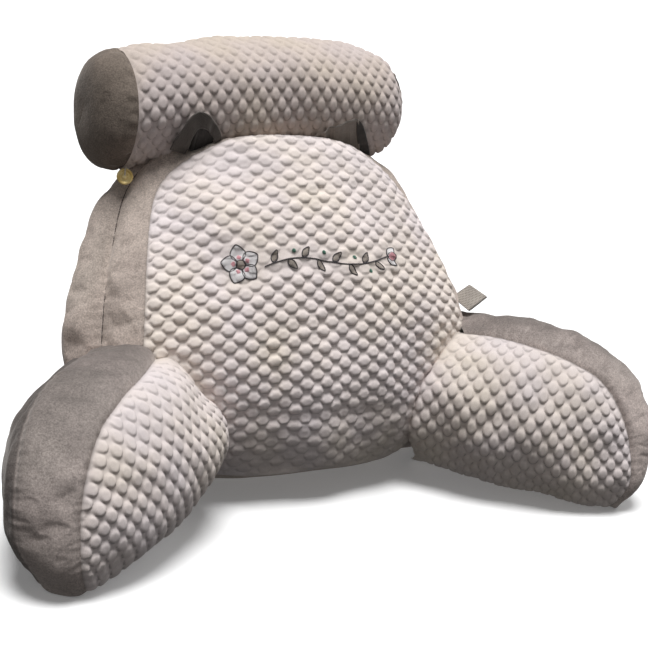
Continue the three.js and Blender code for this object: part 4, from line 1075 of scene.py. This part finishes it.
# ------------------------------------------------------------------ the velvet settles over its filling
def settle(ob, seams, frames=14, pressure=2.5, slack=0.035, cap=4.5, bending=0.35, mirror=False, floor_pin=6.0, keep=None):
    """Cloth simulation of a velvet shell held at its seams: the cloth is a little too large for the filling, so it
    swells and wrinkles. Its movement is capped, fades out at the seams and is then applied to the mesh."""
    me = ob.data
    n = len(me.vertices)
    co = np.empty(n * 3, np.float32)
    me.vertices.foreach_get("co", co)
    start = co.reshape(-1, 3).astype(float)
    p = start * 1000.0 + [0, MIDDLE_Y, 0]
    q = p * [-1, 1, 1] if mirror else p
    near = np.full(n, 1e3)
    for seam in seams:
        near = np.minimum(near, seam.near(q, 30)[0])
    free = smooth(2.0, 15.0, near) * smooth(floor_pin, floor_pin + 14.0, p[:, 2])
    if keep is not None:
        free = free * keep(q)
    edge = np.zeros(n, bool)
    bm = bmesh.new()
    bm.from_mesh(me)
    for e in bm.edges:
        if e.is_boundary:
            edge[e.verts[0].index] = edge[e.verts[1].index] = True
    bm.free()
    hold = ob.vertex_groups.new(name="hold")
    w = 1.0 - smooth(0.0, 0.8, free)
    w[edge] = 1.0
    for step in range(0, 11):
        idx = np.nonzero(np.round(w * 10).astype(int) == step)[0]
        if step and len(idx):
            hold.add([int(k) for k in idx], step / 10.0, "REPLACE")
    mod = ob.modifiers.new("settle", "CLOTH")
    c = mod.settings
    c.quality = 4
    c.mass = 0.2
    c.air_damping = 4.0
    c.tension_stiffness = c.compression_stiffness = 12.0
    c.shear_stiffness = 4.0
    c.bending_stiffness = bending
    c.use_pressure = True
    c.uniform_pressure_force = pressure
    c.shrink_min = -slack
    c.vertex_group_mass = "hold"
    c.pin_stiffness = 1.0
    c.effector_weights.gravity = 0.0
    mod.collision_settings.use_collision = False
    mod.collision_settings.use_self_collision = False
    mod.point_cache.frame_start, mod.point_cache.frame_end = 1, frames
    scene = bpy.context.scene
    for f in range(1, frames + 1):
        scene.frame_set(f)
    done = ob.evaluated_get(bpy.context.evaluated_depsgraph_get())
    out_ = np.empty(n * 3, np.float32)
    done.data.vertices.foreach_get("co", out_)
    move = (out_.reshape(-1, 3) - start) * 1000.0
    size = np.linalg.norm(move, axis=1, keepdims=True)
    move *= cap * np.tanh(size / cap) / np.maximum(size, 1e-6)
    move *= free[:, None] * ~edge[:, None]
    ob.modifiers.remove(mod)
    ob.vertex_groups.remove(hold)
    scene.frame_set(1)
    me.vertices.foreach_set("co", (start + move / 1000.0).ravel().astype(np.float32))
    me.update()
    print("settled", ob.name, "mean %.2f mm, most %.2f mm" % (np.linalg.norm(move, axis=1).mean(), np.linalg.norm(move, axis=1).max()))


settle(back_shell, (front_seam_line, back_seam_line), slack=0.010, cap=1.7, bending=3.0)
settle(arms["right"][1], (arm_seam_in, arm_seam_out), slack=0.016, cap=2.2, bending=1.5)
settle(arms["left"][1], (arm_seam_in, arm_seam_out), slack=0.016, cap=2.2, bending=1.5, mirror=True)
for ob in caps:
    settle(ob, (), frames=12, slack=0.02, cap=2.0, bending=0.6, keep=lambda q: smooth(0.0, 10.0, np.abs(q[:, 0] - ROLL["mid"]) - ROLL["half"] - np.where(q[:, 0] > ROLL["mid"], TURN, 0.0)))



# ------------------------------------------------------------------ stitching
def stitches(name, seam, depth, pitch, length, r, seed=3):
    """A run of short threads sunk in a seam."""
    rng = np.random.RandomState(seed)
    c = seam.points + seam.pull * depth
    parts, s = [], 1.0
    at = lambda q: np.array([np.interp(q, seam.run, c[:, k]) for k in range(3)])
    while s + length < seam.run[-1]:
        parts.append(capsule(at(s) + rng.normal(size=3) * 0.12, at(s + length) + rng.normal(size=3) * 0.12, r))
        s += pitch * (0.94 + 0.12 * rng.rand())
    return grids(name, parts)


stitch_back = stitches("stitches_back_seam", back_seam_line, 0.78, 2.7, 1.5, 0.5)

# ------------------------------------------------------------------ materials
def material(name):
    m = bpy.data.materials.new(name)
    m.use_nodes = True
    return m, m.node_tree, m.node_tree.nodes["Principled BSDF"]


def node(nt, kind, inputs=None, **props):
    n = nt.nodes.new(kind)
    for k, v in props.items():
        setattr(n, k, v)
    for k, v in (inputs or {}).items():
        if isinstance(v, bpy.types.NodeSocket):
            nt.links.new(v, n.inputs[k])
        else:
            n.inputs[k].default_value = v
    return n


def math_node(nt, op, a, b=0.0, c=0.0):
    return node(nt, "ShaderNodeMath", {0: a, 1: b, 2: c}, operation=op).outputs[0]


def stretch(nt, value, lo, hi, to_lo, to_hi):
    return node(nt, "ShaderNodeMapRange", {0: value, 1: lo, 2: hi, 3: to_lo, 4: to_hi}).outputs[0]


def noise(nt, vector, scale, detail=2.0, rough=0.5, distortion=0.0):
    return node(nt, "ShaderNodeTexNoise", {"Vector": vector, "Scale": scale, "Detail": detail, "Roughness": rough,
                                           "Distortion": distortion}, noise_dimensions="3D").outputs["Fac"]


def mixed(nt, fac, a, b, kind="MIX"):
    n = node(nt, "ShaderNodeMix", data_type="RGBA", blend_type=kind)
    for k, v in ((0, fac), (6, a), (7, b)):
        if isinstance(v, bpy.types.NodeSocket):
            nt.links.new(v, n.inputs[k])
        else:
            n.inputs[k].default_value = v
    return n.outputs[2]


def ramp(nt, fac, stops):
    n = node(nt, "ShaderNodeValToRGB", {"Fac": fac})
    e = n.color_ramp.elements
    while len(e) < len(stops):
        e.new(0.5)
    for k, (p, c) in enumerate(stops):
        e[k].position, e[k].color = p, (*c, 1)
    return n.outputs["Color"]


def shade(nt, value):
    """A grey colour from a number."""
    return node(nt, "ShaderNodeCombineColor", {0: value, 1: value, 2: value}).outputs[0]


def bump(nt, height, strength, distance, normal=None):
    n = node(nt, "ShaderNodeBump", {"Strength": strength, "Distance": distance, "Height": height})
    if normal is not None:
        nt.links.new(normal, n.inputs["Normal"])
    return n.outputs["Normal"]


def quilt_material(name="bubble_quilt", tint=(1.0, 1.0, 1.0)):
    m, nt, bsdf = material(name)
    cloth = node(nt, "ShaderNodeAttribute", attribute_name="cloth").outputs["Vector"]
    obj = node(nt, "ShaderNodeTexCoord").outputs["Object"]
    patch = noise(nt, obj, 11.0, 2.0, 0.5)
    tone = ramp(nt, patch, [(p_, tuple(a_ * b_ for a_, b_ in zip(c_, tint))) for p_, c_ in (
        (0.34, (0.80, 0.722, 0.718)), (0.47, (0.818, 0.73, 0.70)), (0.55, (0.83, 0.738, 0.685)), (0.68, (0.835, 0.742, 0.655)))])
    # a fine knit: rows of small loops
    sep = node(nt, "ShaderNodeSeparateXYZ", {0: cloth})
    wob = noise(nt, cloth, 0.35, 2.0)
    along_ = math_node(nt, "SINE", math_node(nt, "MULTIPLY_ADD", sep.outputs[0], 2 * math.pi / 1.1, math_node(nt, "MULTIPLY", wob, 5.0)))
    cross = math_node(nt, "SINE", math_node(nt, "MULTIPLY_ADD", sep.outputs[1], 2 * math.pi / 0.9, math_node(nt, "MULTIPLY", wob, 4.0)))
    loops_ = math_node(nt, "ADD", math_node(nt, "MULTIPLY", along_, 0.5), math_node(nt, "MULTIPLY", cross, 0.5))
    fuzz = noise(nt, obj, 900.0, 2.0, 0.6)
    knit = math_node(nt, "ADD", math_node(nt, "MULTIPLY", loops_, 0.35), fuzz)
    grain = stretch(nt, knit, 0.1, 0.95, 0.86, 1.05)
    blot = stretch(nt, noise(nt, obj, 55.0, 3.0, 0.6), 0.3, 0.7, 0.955, 1.035)
    # painted shade: this attribute darkens the base colour down to 0.55 at the bubbles' lower edges and in the seam
    # creases
    dip = node(nt, "ShaderNodeAttribute", attribute_name="dip").outputs["Fac"]
    low = stretch(nt, dip, 0.0, 1.0, 1.0, 0.55)
    k = math_node(nt, "MULTIPLY", math_node(nt, "MULTIPLY", grain, blot), low)
    # painted light and shade: the tone attribute scales the base colour by piece and, on the front, by height and side
    k = math_node(nt, "MULTIPLY", k, node(nt, "ShaderNodeAttribute", attribute_name="tone").outputs["Fac"])
    nt.links.new(mixed(nt, 1.0, tone, shade(nt, k), "MULTIPLY"), bsdf.inputs["Base Color"])
    nt.links.new(bump(nt, knit, 0.55, 0.0004), bsdf.inputs["Normal"])
    bsdf.inputs["Roughness"].default_value = 0.82
    bsdf.inputs["Specular IOR Level"].default_value = 0.25
    bsdf.inputs["Sheen Weight"].default_value = 0.12
    bsdf.inputs["Sheen Roughness"].default_value = 0.45
    return m


def velvet_material(name, colour, seed):
    m, nt, bsdf = material(name)
    obj = node(nt, "ShaderNodeTexCoord").outputs["Object"]
    place = node(nt, "ShaderNodeVectorMath", {0: obj, 1: (seed * 1.7, seed * 0.9, seed * 2.3)}, operation="ADD").outputs[0]
    speck = noise(nt, place, 620.0, 3.0, 0.72)
    nap = noise(nt, place, 210.0, 3.0, 0.65)
    brushed = noise(nt, place, 30.0, 3.0, 0.55, 0.6)
    broad = noise(nt, place, 9.0, 2.0, 0.5, 0.3)
    k = math_node(nt, "MULTIPLY", stretch(nt, speck, 0.32, 0.68, 0.70, 1.30), stretch(nt, nap, 0.3, 0.7, 0.90, 1.10))
    k = math_node(nt, "MULTIPLY", k, stretch(nt, brushed, 0.32, 0.68, 0.86, 1.13))
    k = math_node(nt, "MULTIPLY", k, stretch(nt, broad, 0.35, 0.65, 0.93, 1.07))
    warm = mixed(nt, stretch(nt, broad, 0.38, 0.62, 0.0, 1.0), (*colour, 1), (colour[0] * 1.0, colour[1] * 0.98, colour[2] * 0.99, 1))
    # painted light and shade: the nap attribute makes the velvet lighter or darker by which way it faces, darker along
    # its seams and over the arms' outer panels, and lighter in a line along the arms' outer seams
    painted_light_shade = node(nt, "ShaderNodeAttribute", attribute_name="nap").outputs["Fac"]
    k = math_node(nt, "MULTIPLY", k, painted_light_shade)
    nt.links.new(mixed(nt, 1.0, warm, shade(nt, k), "MULTIPLY"), bsdf.inputs["Base Color"])
    height = math_node(nt, "ADD", math_node(nt, "MULTIPLY", speck, 0.6), nap)
    nt.links.new(bump(nt, height, 0.5, 0.0011), bsdf.inputs["Normal"])
    rough = stretch(nt, brushed, 0.3, 0.7, 0.86, 0.97)
    nt.links.new(rough, bsdf.inputs["Roughness"])
    bsdf.inputs["Specular IOR Level"].default_value = 0.15
    bsdf.inputs["Sheen Weight"].default_value = 0.35
    bsdf.inputs["Sheen Roughness"].default_value = 0.35
    bsdf.inputs["Sheen Tint"].default_value = (0.95, 0.90, 0.86, 1)
    return m


def ribbon_material(name, colour, pitch, low=0.92):
    m, nt, bsdf = material(name)
    obj = node(nt, "ShaderNodeTexCoord").outputs["Object"]
    weave = node(nt, "ShaderNodeTexWave", {"Vector": obj, "Scale": pitch, "Distortion": 1.2, "Detail": 1.0, "Detail Scale": 4.0},
                 wave_type="BANDS", bands_direction="DIAGONAL").outputs["Fac"]
    fuzz = noise(nt, obj, 700.0, 3.0, 0.7)
    broad = noise(nt, obj, 60.0, 2.0, 0.5)
    k = math_node(nt, "MULTIPLY", stretch(nt, fuzz, 0.3, 0.7, 0.85, 1.15), stretch(nt, weave, 0.0, 1.0, low, 1.06))
    k = math_node(nt, "MULTIPLY", k, stretch(nt, broad, 0.3, 0.7, 0.88, 1.1))
    nt.links.new(mixed(nt, 1.0, (*colour, 1), shade(nt, k), "MULTIPLY"), bsdf.inputs["Base Color"])
    nt.links.new(bump(nt, math_node(nt, "ADD", weave, fuzz), 0.5, 0.0004), bsdf.inputs["Normal"])
    bsdf.inputs["Roughness"].default_value = 0.7
    bsdf.inputs["Sheen Weight"].default_value = 0.2
    bsdf.inputs["Sheen Roughness"].default_value = 0.4
    return m


def thread_material(name, colour, spread=0.12):
    m, nt, bsdf = material(name)
    obj = node(nt, "ShaderNodeTexCoord").outputs["Object"]
    twist = node(nt, "ShaderNodeTexWave", {"Vector": obj, "Scale": 420.0, "Distortion": 2.0, "Detail": 1.0},
                 bands_direction="DIAGONAL").outputs["Fac"]
    broad = noise(nt, obj, 160.0, 2.0, 0.5)
    k = math_node(nt, "MULTIPLY", stretch(nt, twist, 0.0, 1.0, 1 - spread, 1 + spread), stretch(nt, broad, 0.3, 0.7, 0.92, 1.08))
    nt.links.new(mixed(nt, 1.0, (*colour, 1), shade(nt, k), "MULTIPLY"), bsdf.inputs["Base Color"])
    nt.links.new(bump(nt, twist, 0.5, 0.0003), bsdf.inputs["Normal"])
    bsdf.inputs["Roughness"].default_value = 0.55
    bsdf.inputs["Sheen Weight"].default_value = 0.2
    return m


def brass_material():
    m, nt, bsdf = material("worn_brass")
    obj = node(nt, "ShaderNodeTexCoord").outputs["Object"]
    fine = noise(nt, obj, 380.0, 4.0, 0.65)
    rub = noise(nt, obj, 90.0, 2.0, 0.5)
    col = ramp(nt, rub, [(0.3, (0.72, 0.50, 0.16)), (0.55, (0.86, 0.66, 0.28)), (0.72, (0.93, 0.78, 0.42))])
    nt.links.new(col, bsdf.inputs["Base Color"])
    nt.links.new(stretch(nt, fine, 0.3, 0.7, 0.26, 0.48), bsdf.inputs["Roughness"])
    nt.links.new(bump(nt, fine, 0.25, 0.0003), bsdf.inputs["Normal"])
    bsdf.inputs["Metallic"].default_value = 0.55
    return m


def wear(ob, mat):
    ob.data.materials.clear()
    ob.data.materials.append(mat)


quilt_mat = quilt_material()
roll_mat = quilt_material("bubble_quilt_roll", (1.02, 0.985, 0.955))
velvet_mat = velvet_material("taupe_velvet", (0.515, 0.440, 0.388), 1)
arm_mat = velvet_material("taupe_velvet_arms", (0.505, 0.440, 0.405), 9)
cap_mat = velvet_material("taupe_velvet_cap", (0.245, 0.202, 0.168), 5)
ribbon_mat = ribbon_material("charcoal_ribbon", (0.10, 0.086, 0.075), 320.0)
# the ties' folds: the ribbon's back side, made darker than the ribbon's face as painted shade
shaded_ribbon_mat = ribbon_material("charcoal_ribbon_back", (0.05, 0.044, 0.04), 320.0)
loop_mat = ribbon_material("grey_loop", (0.42, 0.375, 0.33), 150.0, 0.55)
brass_mat = brass_material()
# painted light: a lighter copy of the charcoal ribbon for the right tie's broad face
lit_ribbon_mat = ribbon_material("charcoal_ribbon_face", (0.32, 0.278, 0.247), 320.0)
dark_thread = thread_material("dark_thread", (0.075, 0.058, 0.052))
cream_thread = thread_material("cream_thread", (0.62, 0.55, 0.46))


def paint_velvet_light_shade(ob, upward, ahead_, aside_, seams=(), seam_shade=0.5, outer_shade=None):
    """Painted light and shade on the velvet: how light the cloth reads where it faces up, ahead or aside, painted shade
    along its seams, and on an arm painted shade over the outer panel with a painted highlight along the outer seam.
    """
    me = ob.data
    n = np.empty(len(me.vertices) * 3, np.float32)
    me.vertex_normals.foreach_get("vector", n)
    w = n.reshape(-1, 3) ** 2
    up = smooth(-0.1, 0.3, n.reshape(-1, 3)[:, 2])
    co = np.empty(len(me.vertices) * 3, np.float32)
    me.vertices.foreach_get("co", co)
    p = co.reshape(-1, 3) * 1000.0 + [0, MIDDLE_Y, 0]
    # painted light and shade: lighter or darker by which way the velvet faces
    painted_light_shade = w[:, 0] * aside_ + w[:, 1] * ahead_ + w[:, 2] * (upward * up + ahead_ * (1 - up))
    # painted shade along the seams
    for seam in seams:
        for q in (p, p * [-1, 1, 1]) if seam in (arm_seam_in, arm_seam_out) else (p,):
            painted_light_shade = painted_light_shade * (1 - seam_shade * np.exp(-(seam.near(q, 12)[0] / 1.8) ** 2))
    # painted shade over the arm's outer panel, and a painted highlight in a light line along its outer seam
    if outer_shade:
        q = p * [np.sign(p[:, 0].mean()), 1, 1]
        k = arm_seam_out.near(q, 400)[1]
        past = ((q - arm_out[k]) * unit(arm_out - arm_in)[k]).sum(-1)
        painted_light_shade = painted_light_shade * (1 - (1 - outer_shade) * smooth(-0.5, 2.5, past)) * (1 + 0.35 * np.exp(-((past + 0.6) / 0.9) ** 2))
    note(ob, "nap", painted_light_shade)


# painted light and shade on each velvet piece by which way it faces, the arms' outer panels darker; the caps evenly at
# 0.85
paint_velvet_light_shade(back_shell, 0.75, 1.05, 1.30, (front_seam_line,), 0.55)
paint_velvet_light_shade(arms["left"][1], 0.36, 0.88, 0.68, (arm_seam_in,), 0.45, 0.50)
paint_velvet_light_shade(arms["right"][1], 0.36, 1.16, 0.75, (arm_seam_in,), 0.7, 0.7)
for ob in caps:
    paint_velvet_light_shade(ob, 0.85, 0.85, 0.85)

# The right side of the backrest's top has slumped a little.
for ob in (front, back_shell, stitch_back):
    me = ob.data
    co = np.empty(len(me.vertices) * 3, np.float32)
    me.vertices.foreach_get("co", co)
    p = co.reshape(-1, 3) * 1000.0 + [0, MIDDLE_Y, 0]
    p[:, 2] -= 6.5 * smooth(310, 392, p[:, 2]) * smooth(-90, 10, p[:, 0])
    me.vertices.foreach_set("co", to_row(p).ravel().astype(np.float32))
    me.update()

# The left arm has settled lower where it meets the backrest.
for ob in arms["left"]:
    me = ob.data
    co = np.empty(len(me.vertices) * 3, np.float32)
    me.vertices.foreach_get("co", co)
    p = co.reshape(-1, 3) * 1000.0 + [0, MIDDLE_Y, 0]
    q = p * [-1, 1, 1]
    go = np.clip(((q - [190, 40, 0]) @ [0.6, -0.8, 0]) / 210.0, 0, 1)
    wide = smooth(0, 70, (q - [188, 14, 0]) @ [0.8, 0.6, 0])
    p[:, 2] -= (5.0 + 12.0 * wide) * (1 - smooth(0, 0.75, go)) * smooth(20, 165, p[:, 2])
    p[:, 0] -= 4.5 * wide * smooth(5, 60, p[:, 2])
    me.vertices.foreach_set("co", to_row(p).ravel().astype(np.float32))
    me.update()
for name_, colour_ in (("white", (0.80, 0.77, 0.77)), ("rose", (0.74, 0.36, 0.40)), ("taupe", (0.40, 0.345, 0.30)),
                       ("green", (0.07, 0.20, 0.14)), ("charcoal", (0.035, 0.028, 0.032))):
    wear(bpy.data.objects["embroidery_" + name_], thread_material("satin_" + name_, colour_, 0.10))
# the right tie wears the painted-light copy of the charcoal ribbon, the ties' folds its painted-shade copy
WORN = {"quilt": quilt_mat, "neck_roll_quilt": roll_mat, "tie_right": lit_ribbon_mat, "velvet": velvet_mat, "left_velvet": arm_mat, "right_velvet": arm_mat, "cap": cap_mat, "tie": ribbon_mat, "tie_right_fold": shaded_ribbon_mat, "tie_left_fold": shaded_ribbon_mat,
        "side_loop": loop_mat, "roll_button_brass": brass_mat, "stitches": dark_thread, "roll_button_thread": cream_thread}
for ob in list(bpy.context.scene.objects):
    if ob.type == "MESH" and "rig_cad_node" not in ob and not ob.name.startswith("embroidery"):
        best = max((k for k in WORN if k in ob.name), key=len, default="quilt")
        wear(ob, WORN[best])

# ------------------------------------------------------------------ camera, light, floor
cam_data = bpy.data.cameras.new("camera")
cam = bpy.data.objects.new("camera", cam_data)
bpy.context.scene.collection.objects.link(cam)
bpy.context.scene.camera = cam
cam_data.sensor_width, cam_data.lens = 36.0, 75.05
cam_data.clip_start, cam_data.clip_end = 0.05, 60.0
yaw, pitch, roll = (math.radians(q) for q in (31.762, 15.834, 6.0015))
fwd = Vector((math.sin(yaw) * math.cos(pitch), math.cos(yaw) * math.cos(pitch), -math.sin(pitch)))
right = Vector((math.cos(yaw), -math.sin(yaw), 0))
up = right.cross(fwd)
r2 = right * math.cos(roll) + up * math.sin(roll)
u2 = -right * math.sin(roll) + up * math.cos(roll)
cam.matrix_world = Matrix((
    (r2.x, u2.x, -fwd.x, -0.7225), (r2.y, u2.y, -fwd.y, -1.2105), (r2.z, u2.z, -fwd.z, 0.5809), (0, 0, 0, 1)))

# One broad soft light overhead and a faint one from the right.
for name, power, spread, az, el in (("overhead", 3.35, 30.0, -20.0, 84.0), ("side", 0.7, 40.0, 100.0, 30.0)):
    data = bpy.data.lights.new(name, "SUN")
    data.energy, data.angle = power, math.radians(spread)
    lamp = bpy.data.objects.new(name, data)
    bpy.context.scene.collection.objects.link(lamp)
    lamp.rotation_mode = "QUATERNION"
    az, el = math.radians(az), math.radians(el)
    lamp.rotation_quaternion = (-Vector((math.sin(az) * math.cos(el), -math.cos(az) * math.cos(el), math.sin(el)))).to_track_quat("-Z", "Y")

SKY_TOP, SKY_SIDE, SKY_LOW = 0.16, 0.11, 0.09
# A soft white sky that is bright overhead and dim below.
world = bpy.data.worlds.new("world")
bpy.context.scene.world = world
world.use_nodes = True
nt = world.node_tree
high = node(nt, "ShaderNodeSeparateXYZ", {0: node(nt, "ShaderNodeTexCoord").outputs["Generated"]}).outputs[2]
sky = node(nt, "ShaderNodeValToRGB", {"Fac": stretch(nt, high, -1.0, 1.0, 0.0, 1.0)})
e = sky.color_ramp.elements
for p in (0.5, 0.56, 0.6):
    e.new(p)
for k, (p, c) in enumerate(((0.44, SKY_LOW), (0.496, 0.62), (0.545, 0.62), (0.58, SKY_SIDE), (1.0, SKY_TOP))):
    e[k].position, e[k].color = p, (c, c, c, 1)
nt.links.new(sky.outputs["Color"], nt.nodes["Background"].inputs[0])
nt.nodes["Background"].inputs[1].default_value = 1.0

bpy.ops.mesh.primitive_plane_add(size=60, location=(0, 0, -0.0005))
floor = bpy.context.object
floor.name = "floor"
white, nt, bsdf = material("floor_white")
bsdf.inputs["Base Color"].default_value = (0.95, 0.95, 0.95, 1)
bsdf.inputs["Roughness"].default_value = 0.95
bsdf.inputs["Emission Color"].default_value = (1, 1, 1, 1)
bsdf.inputs["Emission Strength"].default_value = 0.12
wear(floor, white)
floor.visible_diffuse = False
floor.visible_glossy = False
floor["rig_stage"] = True
bpy.context.scene.view_settings.view_transform = "Standard"

# ------------------------------------------------------------------ what each piece is
STANDS = {
    "front_panel_quilt": (["backrest_front_panel"], "quilt"),
    "backrest_velvet": (["backrest_cushion", "backrest_gusset"], "velvet"),
    "arm_right_quilt": (["arm_right_inner_panel"], "quilt"),
    "arm_left_quilt": (["arm_left_inner_panel"], "quilt"),
    "arm_right_velvet": (["arm_right_cushion", "arm_right_gusset"], "velvet"),
    "arm_left_velvet": (["arm_left_cushion", "arm_left_gusset"], "velvet"),
    "neck_roll_quilt": (["neck_roll"], "quilt"),
    "neck_roll_cap_left": (["neck_roll_end_left"], "velvet"),
    "neck_roll_cap_right": (["neck_roll_end_right"], "velvet"),
    "tie_left": (["roll_tie_left"], "ribbon"),
    "tie_left_fold": (["roll_tie_left"], "ribbon"),
    "tie_right": (["roll_tie_right"], "ribbon"),
    "tie_right_fold": (["roll_tie_right"], "ribbon"),
    "roll_button_brass": (["roll_button"], "brass"),
    "side_loop_ribbon": (["side_loop"], "ribbon"),
}
for ob in list(bpy.context.scene.objects):
    if ob.type != "MESH" or "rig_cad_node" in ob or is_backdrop(ob):
        continue
    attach(ob, "root")
    if ob.name in STANDS:
        stood, slot_name = STANDS[ob.name]
        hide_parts(*stood)
